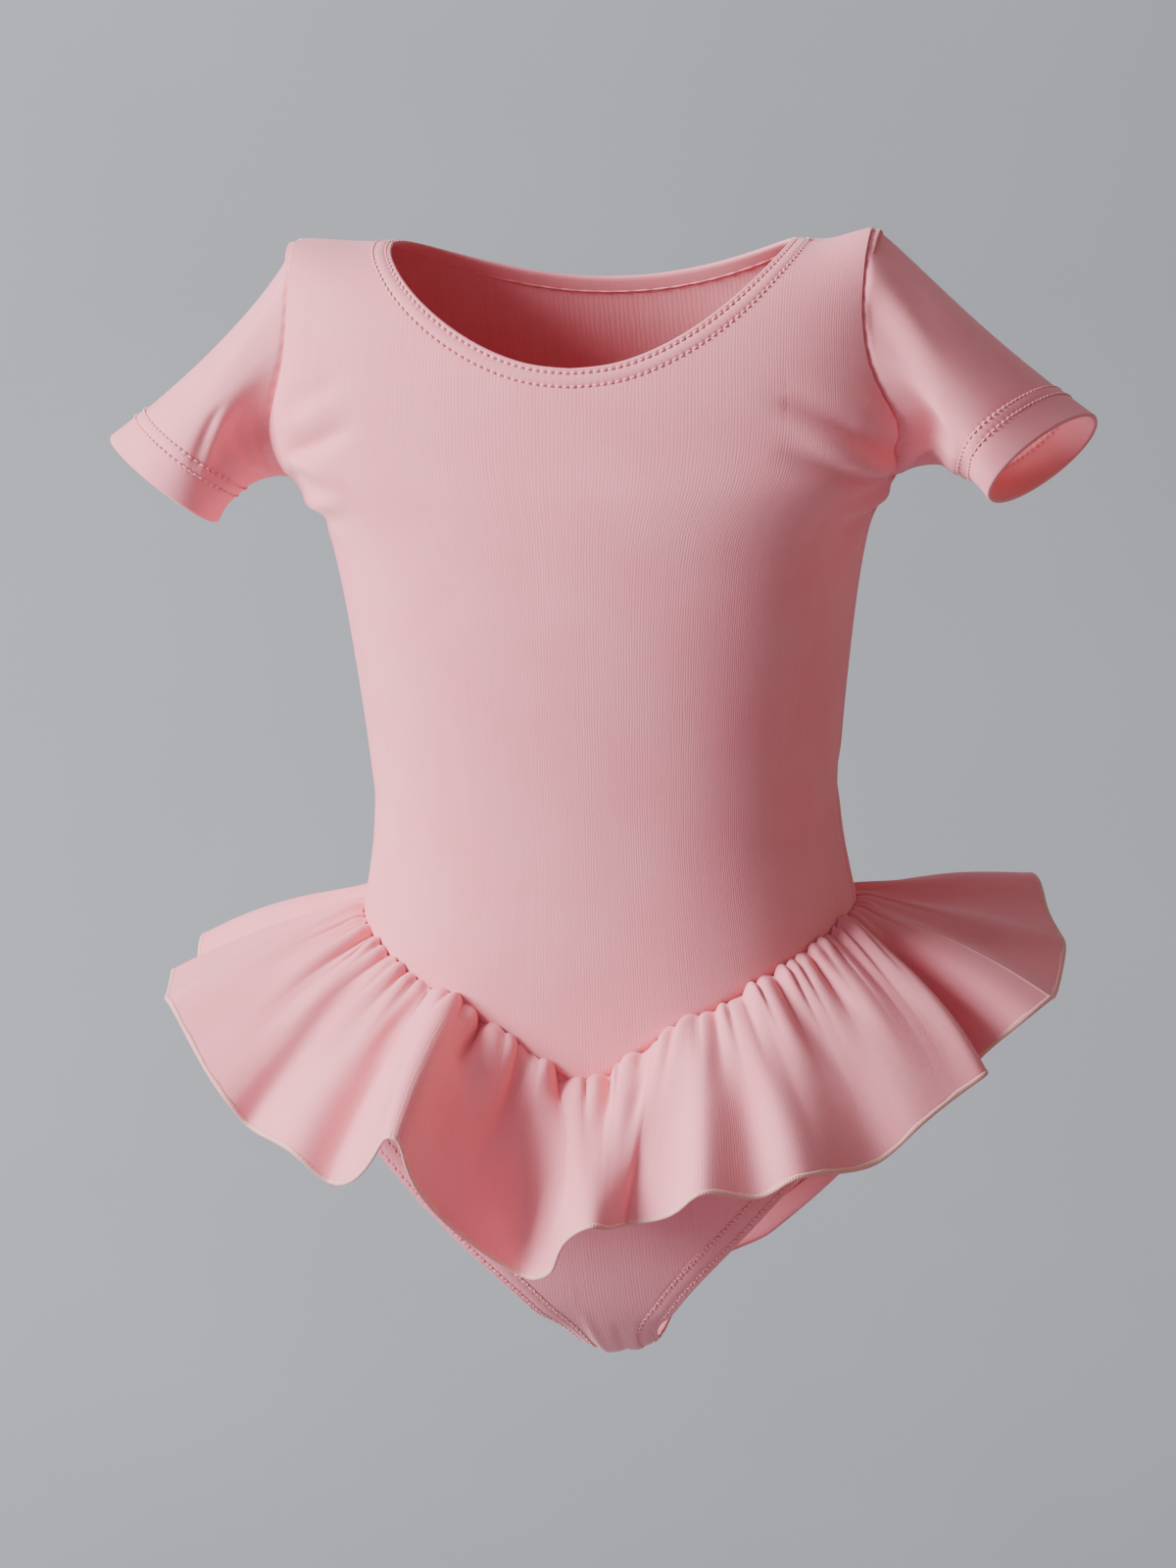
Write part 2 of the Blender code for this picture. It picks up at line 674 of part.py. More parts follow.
def ruffle_point(side, across, down):
    """A point of the skirt before its gathers: across is from side to side, down from 0 to 1."""
    across, down = np.broadcast_arrays(np.clip(across, -1, 1), np.asarray(down, float))
    level = seam_level(side, across)
    normal = figure_normal(side, across, level)
    start = figure_point(side, across, level) + normal * RUFFLE_STAND_OFF
    table = np.array(RUFFLES[side])
    row = np.interp(across, table[:, 0], np.arange(len(table)))
    hem = spline_through(table[:, 1:] * MM)(row) + (0, side * SEAM_GAP / 2, 0)
    reach = hem - start
    way = unit(unit(reach) + normal * RUFFLE_RISE)
    length = np.linalg.norm(reach, axis=-1, keepdims=True)
    turn = start + way * length * RUFFLE_BODY
    down = down[..., None]
    return start * (1 - down) ** 2 + turn * 2 * down * (1 - down) + hem * down**2


def gather_lift(across, down):
    """How far the gathers lift the skirt off its smooth run."""
    phase = math.pi * GATHERS * (across + 1)
    uneven = 0.8 + 0.2 * np.sin(2.3 * phase / GATHERS * 5 + 1.0)
    grow = 0.55 + 0.45 * eased(down / 0.1)
    fade = np.exp(-((down / GATHER_FADE) ** 2))
    ends = eased((1 - np.abs(across)) / 0.03)
    return GATHER_DEPTH * uneven * grow * fade * ends * (1 - np.cos(phase)) / 2


def skirt_panel(name, side, material):
    """The front or back of the skirt, gathered at the waist seam."""
    across = np.linspace(-1, 1, GATHERS * GATHER_STEPS + 1)[None, :]
    down = np.array(GATHER_ROWS)[:, None]
    points = ruffle_point(side, across, down)
    step = 2e-3
    along = ruffle_point(side, across + step, down) - ruffle_point(side, across - step, down)
    # The two halves meet at the side seams, so their ends face the same way.
    along[:, 0] = (0, side, 0)
    along[:, -1] = (0, -side, 0)
    fall = ruffle_point(side, across, down + step) - ruffle_point(side, across, down - step)
    normals = unit(np.cross(unit(along), unit(fall))) * side
    outer = points + normals * (RUFFLE_WALL + gather_lift(across, down))[..., None]
    inner = outer - normals * RUFFLE_WALL
    return wall_object(name, outer, inner, material)


def clear_scene():
    for thing in list(bpy.data.objects):
        bpy.data.objects.remove(thing)


def main():
    clear_scene()
    jersey = smooth_material("rose_jersey", ROSE, 0.85)
    edging = smooth_material("rose_edging", DEEP_ROSE, 0.8)
    for side, word in ((FRONT, "front"), (BACK, "back")):
        bodice_panel(f"bodice_{word}", side, jersey)
        brief_panel(f"brief_{word}", side, jersey)
        skirt_panel(f"skirt_{word}", side, jersey)
        neck_band(f"neck_band_{word}", side, edging)
    for word, hand in HANDS.items():
        sleeve(f"sleeve_{word}", word, jersey)
        leg_band(f"leg_band_{word}", hand, edging)


main()
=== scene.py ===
"""Looks of a child's skirted ballet leotard: knitted shells, turned edges, stitches, overlock."""

import logging
import math
from dataclasses import dataclass, field
from enum import Enum

import bpy
import numpy as np
from mathutils import Matrix, Vector


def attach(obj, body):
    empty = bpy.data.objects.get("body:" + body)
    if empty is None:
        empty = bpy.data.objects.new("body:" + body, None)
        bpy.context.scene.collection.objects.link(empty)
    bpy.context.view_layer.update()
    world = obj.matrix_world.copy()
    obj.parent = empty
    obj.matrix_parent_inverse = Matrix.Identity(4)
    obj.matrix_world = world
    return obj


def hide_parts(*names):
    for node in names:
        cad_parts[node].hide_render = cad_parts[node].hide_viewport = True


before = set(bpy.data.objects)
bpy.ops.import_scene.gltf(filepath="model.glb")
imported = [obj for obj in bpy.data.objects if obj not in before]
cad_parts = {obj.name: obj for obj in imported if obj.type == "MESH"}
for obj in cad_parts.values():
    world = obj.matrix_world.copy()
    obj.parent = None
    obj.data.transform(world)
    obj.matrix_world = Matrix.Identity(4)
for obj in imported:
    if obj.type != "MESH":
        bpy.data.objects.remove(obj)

Array = np.ndarray
Piece = bpy.types.Object
Material = bpy.types.Material
Socket = bpy.types.NodeSocket
Pair = tuple[float, float]
Row = tuple[float, ...]

MM = 0.001
QUARTER_TURN = math.pi / 2
BODY = "root"
LIP = 0.35 * MM  # how far the rounded ends of a wall stand out
SEAM_REACH = 1.5 * MM  # how wide cloth turns in at a seam

log = logging.getLogger("leotard")


class Named(Enum):
    """Options whose names go into the names of pieces."""

    @property
    def word(self) -> str:
        """The option's name in small letters."""
        return self.name.lower()


class Side(Named):
    """The two halves of the garment, with the sign of Y that each one faces."""

    FRONT = -1
    BACK = 1


class Hand(Named):
    """The wearer's left and right, with the sign of X that each one lies on."""

    LEFT = 1
    RIGHT = -1


class StitchKind(Enum):
    """How far a row of stitches swings to each side of its middle, in millimetres."""

    STRAIGHT = 0.0
    ZIGZAG = 0.75


# Curves and vectors


class Spline:
    """A natural cubic spline through values at 0, 1, 2 and so on."""

    def __init__(self, values: Array) -> None:
        """Works out the bends.

        Args:
            values: one row for each knot.
        """
        self.values = np.asarray(values, float)
        count = len(self.values)
        system, right = np.eye(count), np.zeros(self.values.shape)
        for i in range(1, count - 1):
            system[i, i - 1 : i + 2] = (1, 4, 1)
            right[i] = 6 * (self.values[i + 1] - 2 * self.values[i] + self.values[i - 1])
        self.bend = np.linalg.solve(system, right)

    def __call__(self, where: Array) -> Array:
        """The values at places between the knots.

        Args:
            where: places, counted in knots.

        Returns:
            One row of values for each place.
        """
        count = len(self.values)
        where = np.clip(np.asarray(where, float), 0, count - 1)
        i = np.minimum(where.astype(int), count - 2)
        b = (where - i)[..., None]
        a = 1 - b
        curve = (a**3 - a) * self.bend[i] + (b**3 - b) * self.bend[i + 1]
        return a * self.values[i] + b * self.values[i + 1] + curve / 6

    def read(self, count: int) -> Array:
        """The spline at count + 1 even places.

        Args:
            count: how many steps.

        Returns:
            One row for each place.
        """
        return self(np.linspace(0, len(self.values) - 1, count + 1))


def eased(x: Array) -> Array:
    """A smooth step from 0 to 1."""
    x = np.clip(x, 0, 1)
    return x * x * (3 - 2 * x)


def unit(vectors: Array) -> Array:
    """Vectors at length 1."""
    return vectors / np.maximum(np.linalg.norm(vectors, axis=-1, keepdims=True), 1e-12)


def bell(distance: Array, half_width: float) -> Array:
    """A soft bump: 1 in the middle, dying out over a few half widths."""
    return np.exp(-((distance / half_width) ** 2))


def grid_normals(points: Array, ring: bool = False) -> Array:
    """Normals of a grid of points.

    Args:
        points: rows, columns, 3.
        ring: the last column meets the first.

    Returns:
        A unit normal for each point, along (step along a row) x (step down a column).
    """
    if ring:
        along = np.roll(points, -1, axis=1) - np.roll(points, 1, axis=1)
    else:
        along = np.gradient(points, axis=1)
    return unit(np.cross(along, np.gradient(points, axis=0)))


def run_lengths(points: Array, axis: int) -> Array:
    """Distance along a path, or along a grid's rows or columns, from the first point.

    Args:
        points: places, 3 for a path, or rows, columns, 3 for a grid.
        axis: 0 to run along a path or down the columns, 1 to run along the rows.

    Returns:
        The distance for each point.
    """
    steps = np.linalg.norm(np.diff(points, axis=axis), axis=-1)
    start = np.zeros_like(np.take(steps, [0], axis=axis))
    return np.cumsum(np.concatenate((start, steps), axis=axis), axis=axis)


@dataclass(frozen=True)
class Crease:
    """A soft ridge, or a trough where depth is negative, on a flat chart in millimetres.

    It swells over the first part of its run and dies out over the last part, and bow bends it
    sideways in the middle. swell and die_out are shares of the run.
    """

    x: float
    y: float
    end_x: float
    end_y: float
    half_width: float
    depth: float
    bow: float = 0.0
    swell: float = 0.3
    die_out: float = 0.7

    def lift(self, x: Array, y: Array) -> Array:
        """How far the crease lifts the cloth.

        Args:
            x: first chart coordinate, in millimetres.
            y: second chart coordinate, in millimetres.

        Returns:
            The lift in millimetres.
        """
        run = np.array((self.end_x - self.x, self.end_y - self.y))
        length = np.linalg.norm(run)
        along = ((x - self.x) * run[0] + (y - self.y) * run[1]) / length**2
        aside = ((x - self.x) * run[1] - (y - self.y) * run[0]) / length
        aside = aside - self.bow * np.sin(math.pi * np.clip(along, 0, 1))
        fade = eased((1 - along) / self.die_out) * eased((along + self.swell) / self.swell)
        return self.depth * fade * bell(aside, self.half_width)


def creased(*rows: Row) -> tuple[Crease, ...]:
    """Creases from rows of their values, in the order of Crease's fields."""
    return tuple(Crease(*row) for row in rows)


def all_lifts(creases: tuple[Crease, ...], x: Array, y: Array) -> Array:
    """The lift of all creases together, in metres, at chart places in millimetres."""
    return sum((crease.lift(x, y) for crease in creases), np.zeros(np.shape(x))) * MM


# The figure and the cut


@dataclass(frozen=True)
class Figure:
    """The plain form that the garment is cut for, as a surface of turn and level.

    turn runs from -1 to 1 across a side and level counts the rows of levels, which hold the
    height, half width, front depth and back depth in millimetres. The strap is the low end
    between the legs, and the peaks are the shoulders' rises, left then right.
    """

    levels: tuple[Row, ...] = (
        (0, 131, 0, 0), (-1.5, 131, 16, 14), (-6, 131, 31, 27),
        (-14, 131, 44, 38), (-26, 131, 53, 46), (-41, 131.5, 59.5, 52),
        (-58, 132, 64, 58), (-74, 130, 67, 62), (-86, 124, 69.5, 65),
        (-96, 115, 71, 66.5), (-107, 107.5, 72, 67.5), (-120, 103.5, 72.5, 68),
        (-140, 99.8, 73, 67.5), (-170, 95.7, 72.5, 65), (-205, 92, 71.5, 61),
        (-232, 92.2, 71.5, 59.5), (-258, 96.5, 72.5, 62), (-285, 101.5, 73.5, 68),
        (-312, 107, 74, 76), (-340, 111, 73, 82), (-368, 113.5, 69, 83),
        (-393, 114.5, 61, 78), (-413, 115, 50, 67), (-428, 115, 37, 51),
        (-439, 115, 23, 31), (-445, 115, 10, 12), (-446, 115, 0, 0),
    )
    squareness: float = 0.03
    seam_gap: float = 0.3 * MM
    strap_lift: float = 8.0 * MM
    strap_half: float = 17.0 * MM
    strap_reach: float = 4.0
    strap_from: float = 415.0 * MM
    strap_deep: float = 31.0 * MM
    shoulder_half: float = 112.4 * MM
    peak_from: float = 88.0 * MM
    peak_rise: Pair = (5.0 * MM, 1.5 * MM)
    peak_levels: float = 3.5
    round_trip: float = 560 * MM
    level_places: int = 1301
    turn_places: int = 801

    def __post_init__(self) -> None:
        """Makes the spline through the levels and the tables that turn it round."""
        through = Spline(np.array(self.levels) * MM)
        steps = np.linspace(0, self.last_level, self.level_places)
        turns = np.linspace(0, 1, self.turn_places)
        for name, value in (
            ("sizes", through),
            ("steps", steps),
            ("heights", through(steps)[:, 0]),
            ("turns", turns),
            ("shares", self.across_share(turns)),
        ):
            object.__setattr__(self, name, value)

    @property
    def last_level(self) -> int:
        """The level of the crotch seam."""
        return len(self.levels) - 1

    def level_at(self, height: Array) -> Array:
        """The level that lies at a height."""
        return np.interp(-np.asarray(height), -self.heights, self.steps)

    def across_share(self, turn: Array) -> Array:
        """How far out a turn lies.

        Args:
            turn: from -1 to 1 across the side.

        Returns:
            The share of the half width.
        """
        angle = np.asarray(turn) * QUARTER_TURN
        wide = np.sin(angle) + self.squareness * np.sin(3 * angle)
        return wide / (1 - self.squareness)

    def forward_share(self, turn: Array) -> Array:
        """How far forward a turn lies.

        Args:
            turn: from -1 to 1 across the side.

        Returns:
            The share of the depth.
        """
        angle = np.asarray(turn) * QUARTER_TURN
        deep = np.cos(angle) - self.squareness * np.cos(3 * angle)
        return deep / (1 - self.squareness)

    def turn_at(self, out: Array, level: Array) -> Array:
        """The turn that lies a distance out at a level."""
        share = np.abs(out) / self.sizes(level)[..., 1]
        return np.sign(out) * np.interp(share, self.shares, self.turns)

    def point(self, side: Side, turn: Array, level: Array) -> Array:
        """Points of the surface.

        Args:
            side: front or back.
            turn: from -1 to 1 across the side.
            level: counted in rows of levels.

        Returns:
            One point in metres for each turn and level.
        """
        sizes = self.sizes(level)
        height, half_width = sizes[..., 0], sizes[..., 1]
        depth = sizes[..., 2 if side is Side.FRONT else 3]
        x = half_width * self.across_share(turn)
        y = side.value * (depth * self.forward_share(turn) + self.seam_gap / 2)
        rise = np.where(x > 0, *self.peak_rise)
        peak = rise * eased((np.abs(x) - self.peak_from) / (self.shoulder_half - self.peak_from))
        aside = (x / self.strap_half) ** 2
        strap = self.strap_lift * aside / (1 + aside / self.strap_reach)
        strap = strap * eased((-height - self.strap_from) / self.strap_deep)
        z = height + peak * eased(1 - np.asarray(level) / self.peak_levels) + strap
        return np.stack(np.broadcast_arrays(x, y, z), axis=-1)

    def normal(self, side: Side, turn: Array, level: Array) -> Array:
        """The outward normals of the surface.

        Args:
            side: front or back.
            turn: from -1 to 1 across the side.
            level: counted in rows of levels.

        Returns:
            One unit normal for each turn and level.
        """
        turn, level = np.broadcast_arrays(np.asarray(turn, float), np.asarray(level, float))
        step = 2e-3
        above = np.clip(level - step, 0, self.last_level)
        below = np.clip(level + step, 0, self.last_level)
        along = self.point(side, turn + step, level) - self.point(side, turn - step, level)
        down = self.point(side, turn, below) - self.point(side, turn, above)
        return side.value * unit(np.cross(along, down))


def mirrored(half: Array) -> Array:
    """A half's path, from the centre to the side, made whole from side to side."""
    return np.concatenate((half[:0:-1] * (-1, 1), half))


def between(first: Array, last: Array, shares: Array, spread: float = 1.0) -> Array:
    """A grid of paths from one path to another.

    Args:
        first: path at share 0.
        last: path at share 1.
        shares: the share of each row.
        spread: over 1, each column turns towards its last point early on.

    Returns:
        rows, columns, (turn, level).
    """
    share = np.asarray(shares)[:, None]
    share = np.stack((1 - (1 - share) ** spread, share), axis=-1)
    return first[None] * (1 - share) + last[None] * share


def close_ends(rows: int, reach: float = 0.05, lean: float = 0.0) -> Array:
    """Shares from 0 to 1 that lie close together near both ends.

    Args:
        rows: how many steps there are.
        reach: how far in from an end the steps stay small.
        lean: how much smaller they are towards 1.

    Returns:
        rows + 1 shares.
    """
    middle = (np.arange(rows) + 0.5) / rows
    closest = 0.85
    steps = 1 - closest * (bell(middle, reach) + bell(1 - middle, reach))
    steps = steps * (1 + lean * (1 - 2 * middle))
    return np.concatenate(([0], np.cumsum(steps))) / steps.sum()


@dataclass(frozen=True)
class Cut:
    """The lines that the cloth is cut and sewn along, on the figure.

    Pairs are for the front and the back, and finer is how many columns of a mesh lie between
    two points of a line.
    """

    figure: Figure
    finer: int = 5
    neck_half: float = 77.4 * MM
    neck_drop: Pair = (39.7 * MM, 20.0 * MM)
    neck_band: float = 8.0 * MM
    neck_columns: int = 8
    shoulder_columns: int = 3
    armhole_columns: int = 12
    armholes: tuple[tuple[Pair, ...], ...] = (
        (
            (0, 112.4), (-12, 111.6), (-32, 112.5), (-47, 116), (-59, 120.5),
            (-70, 123), (-82, 121), (-93, 117.5),
        ),
        (
            (0, 112.4), (-16, 112.4), (-36, 113.2), (-54, 116.5), (-70, 120.5),
            (-83, 121), (-93, 117.5),
        ),
    )
    yoke_sway: float = -3.3 * MM
    yoke_levels: Pair = (3.0, 9.5)
    seam_point: Pair = (-317.0 * MM, -300.0 * MM)
    seam_slope: Pair = (0.53, 0.387)
    seam_round: float = 6.0 * MM
    seam_step: Pair = (5.0 * MM, 0.0)
    seam_step_reach: float = 35.0 * MM
    leg_edges: tuple[tuple[Pair, ...], ...] = (
        (
            (-333, 110.2), (-341, 99.5), (-352, 86.8), (-370, 69.5), (-391, 50),
            (-410, 33.5), (-428, 22), (-440, 17.6), (-446, 17),
        ),
        (
            (-333, 110.2), (-346, 107.5), (-367, 99), (-391, 81), (-411, 59),
            (-427, 38), (-438, 24.5), (-444, 18.5), (-446, 17),
        ),
    )
    leg_band: float = 10.0 * MM
    leg_columns: int = 19
    crotch_columns: int = 4
    strap_taper: float = 0.97
    neck_places: int = 121
    edge_steps: int = 160
    seam_rounds: int = 12
    slide_steps: int = 4
    nudge: float = 1e-3

    def of(self, pair: tuple, side: Side) -> float:
        """The front or back value of a pair."""
        return pair[0 if side is Side.FRONT else 1]

    def slid(self, side: Side, path: Array, distance: float) -> Array:
        """A path moved sideways on the cloth, into the panel.

        Args:
            side: front or back.
            path: rows of (turn, level).
            distance: how far it moves.

        Returns:
            The moved path.
        """
        figure, path, h = self.figure, np.array(path, float), self.nudge
        for _ in range(self.slide_steps):
            turn, level = path[:, 0], path[:, 1]
            points = figure.point(side, turn, level)
            way = np.gradient(points, axis=0)
            inward = unit(np.cross(way, figure.normal(side, turn, level))) * -side.value
            aside = inward * distance / self.slide_steps
            by_turn = (figure.point(side, turn + h, level) - points) / h
            lower = np.clip(level + h, 0, figure.last_level)
            upper = np.clip(level - h, 0, figure.last_level)
            by_level = figure.point(side, turn, lower) - figure.point(side, turn, upper)
            by_level = by_level / (lower - upper)[:, None]
            for i in range(len(path)):
                jacobian = np.stack((by_turn[i], by_level[i]), axis=1)
                path[i] += np.linalg.lstsq(jacobian, aside[i], rcond=None)[0]
            path[:, 1] = np.clip(path[:, 1], 0, figure.last_level)
        return path

    def even(self, side: Side, path: Array, count: int) -> Array:
        """A path read again at points that are equally far apart.

        Args:
            side: front or back.
            path: rows of (turn, level).
            count: how many steps.

        Returns:
            count + 1 rows of (turn, level).
        """
        length = run_lengths(self.figure.point(side, path[:, 0], path[:, 1]), 0)
        wanted = np.linspace(0, length[-1], count + 1)
        return np.stack([np.interp(wanted, length, path[:, k]) for k in (0, 1)], axis=1)

    def neck(self, side: Side, inset: float, finer: int = 0) -> Array:
        """A path along the neckline, moved in, from the centre to the shoulder.

        Args:
            side: front or back.
            inset: how far it is moved in.
            finer: columns between two points, or 0 for the cut's own.

        Returns:
            Rows of (turn, level).
        """
        share = np.linspace(0, 1, self.neck_places)
        level = self.figure.level_at(-self.of(self.neck_drop, side) * (1 - share**2))
        level[-1] = 0
        path = np.stack((self.figure.turn_at(self.neck_half * share, level), level), axis=1)
        path = self.slid(side, self.even(side, path, self.neck_columns), inset)
        path[0, 0] = path[-1, 1] = 0
        return Spline(path).read(self.neck_columns * (finer or self.finer))

    def edge(self, rows: tuple, sway: float = 0.0) -> Array:
        """A path through a table of heights and distances out.

        Args:
            rows: heights and distances out, in millimetres.
            sway: how far its upper part is moved out.

        Returns:
            Rows of (turn, level).
        """
        height, out = Spline(np.array(rows) * MM).read(self.edge_steps).T
        level = self.figure.level_at(height)
        first, last = self.yoke_levels
        out = out + sway * (1 - eased((level - first) / (last - first)))
        return np.stack((self.figure.turn_at(out, level), level), axis=1)

    def armhole(self, side: Side, hand: Hand, count: int) -> Array:
        """A path along one armhole, from the shoulder to the underarm.

        Args:
            side: front or back.
            hand: the wearer's left or right.
            count: how many steps.

        Returns:
            Rows of (turn, level).
        """
        path = self.edge(self.of(self.armholes, side), hand.value * self.yoke_sway)
        path[0, 1], path[-1, 0] = 0, 1
        return self.even(side, path * (hand.value, 1), count)

    def leg(self, side: Side, inset: float, finer: int = 0) -> Array:
        """A path along a leg opening, moved in, from the side to the crotch.

        Args:
            side: front or back.
            inset: how far it is moved in.
            finer: columns between two points, or 0 for the cut's own.

        Returns:
            Rows of (turn, level).
        """
        path = self.edge(self.of(self.leg_edges, side))
        path = self.slid(side, self.even(side, path, self.leg_columns), inset)
        path[0, 0] = 1
        last = min(path[-1, 0], path[-2, 0] * self.strap_taper)
        path[-1] = (last, self.figure.last_level)
        return Spline(path).read(self.leg_columns * (finer or self.finer))

    def seam_level(self, side: Side, turn: Array) -> Array:
        """The level of the waist seam's V.

        Args:
            side: front or back.
            turn: from -1 to 1 across the side.

        Returns:
            The level for each turn.
        """
        point, slope = self.of(self.seam_point, side), self.of(self.seam_slope, side)
        level = self.figure.level_at(np.full(np.shape(turn), point))
        for _ in range(self.seam_rounds):
            out = self.figure.sizes(level)[..., 1] * self.figure.across_share(turn)
            rise = np.sqrt(out**2 + self.seam_round**2) - self.seam_round
            reach = eased(np.abs(out) / self.seam_step_reach)
            step = self.of(self.seam_step, side) * reach
            level = self.figure.level_at(point + slope * rise + step)
        return level

    def seam(self, side: Side, turn: Array, above: float) -> Array:
        """A path along the waist seam, a little above or below it."""
        height = self.figure.sizes(self.seam_level(side, turn))[..., 0] + above
        return np.stack((turn, self.figure.level_at(height)), axis=1)


# Meshes


def into_scene(name: str, data: bpy.types.ID) -> Piece:
    """Makes an object of a mesh, a lamp or a camera, and adds it to the scene.

    Args:
        name: the object's name.
        data: what it shows.

    Returns:
        The new object.
    """
    made = bpy.data.objects.new(name, data)
    bpy.context.scene.collection.objects.link(made)
    return made


@dataclass
class ClosedSweep:
    """A closed cloth wall: a loop of rows, out one face and back the other, swept along columns.

    points holds the loop's rows and the columns, and cloth the place of each point on the flat
    cloth in metres. With ring the last column meets the first one, and ring_length is the flat
    cloth's length all round.
    """

    name: str
    points: Array
    cloth: Array
    ring: bool = False
    ring_length: float = 0.0

    @staticmethod
    def of_wall(name: str, outer: Array, inner: Array, cloth: Array) -> "ClosedSweep":
        """A wall between two grids, with rounded first and last rows.

        Args:
            name: the piece's name.
            outer: rows, columns, 3.
            inner: the same grid on the other face.
            cloth: rows, columns, 2.

        Returns:
            The sweep.
        """

        def lip(row: int, inside: int) -> Array:
            """The row that rounds off one end of the wall."""
            middle = (outer[row] + inner[row]) / 2
            return middle + unit(middle - (outer[inside] + inner[inside]) / 2) * LIP

        points = np.concatenate((lip(0, 1)[None], outer, lip(-1, -2)[None], inner[::-1]))
        flat = np.concatenate((cloth[:1], cloth, cloth[-1:], cloth[::-1]))
        return ClosedSweep(name, points, flat)

    def build(self, *materials: Material) -> Piece:
        """Makes the piece.

        Args:
            materials: the face's material, and the lining side's where there is a second.

        Returns:
            The new object.
        """
        rows, columns = self.points.shape[:2]
        j = np.arange(columns if self.ring else columns - 1)
        i = np.arange(rows)
        i, j = (a.ravel() for a in np.meshgrid(i, j, indexing="ij"))
        n, k = (i + 1) % rows, (j + 1) % columns
        quads = np.stack((i * columns + j, i * columns + k, n * columns + k, n * columns + j), 1)
        ahead = np.where(k < j, self.ring_length, 0.0)
        flat = self.cloth.reshape(-1, 2)
        places = flat[quads]
        places[:, 1, 0] += ahead
        places[:, 2, 0] += ahead
        faces, uvs = quads.tolist(), [places.reshape(-1, 2)]
        half = rows // 2
        inside = np.where((i > half) & (i < rows - 1), 1, 0).tolist()
        if not self.ring:
            for end, flip in ((0, False), (columns - 1, True)):
                for a in range(half):
                    corner = [a, a + 1, rows - 1 - a, (rows - a) % rows]
                    corner = list(dict.fromkeys(corner))
                    corner = [row * columns + end for row in corner]
                    corner = corner if flip else corner[::-1]
                    faces.append(corner)
                    uvs.append(flat[corner])
                    inside.append(0)
        mesh = bpy.data.meshes.new(self.name)
        mesh.from_pydata(self.points.reshape(-1, 3).tolist(), [], faces)
        layer = mesh.uv_layers.new(name="cloth")
        layer.uv.foreach_set("vector", np.concatenate(uvs).astype(np.float32).ravel())
        for material in materials:
            mesh.materials.append(material)
        if len(materials) > 1:
            mesh.polygons.foreach_set("material_index", inside)
        corners = self.points.reshape(-1, 3)[quads]
        across = corners[:, 2] - corners[:, 0], corners[:, 3] - corners[:, 1]
        volume = (corners.mean(axis=1) * np.cross(*across)).sum()
        if volume < 0:
            mesh.flip_normals()
        mesh.shade_smooth()
        return into_scene(self.name, mesh)


def dressed(piece: Piece, slot: str, *nodes: str) -> Piece:
    """Puts a piece on the body and reports it.

    Args:
        piece: the piece.
        slot: not used.
        nodes: the solids that it takes the place of.

    Returns:
        The same piece.
    """
    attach(piece, BODY)
    if nodes:
        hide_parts(*nodes)
    faces = piece.data.polygons
    log.info("%s: %d faces, %.5f m2 a side", piece.name, len(faces), sum(f.area for f in faces) / 2)
    return piece


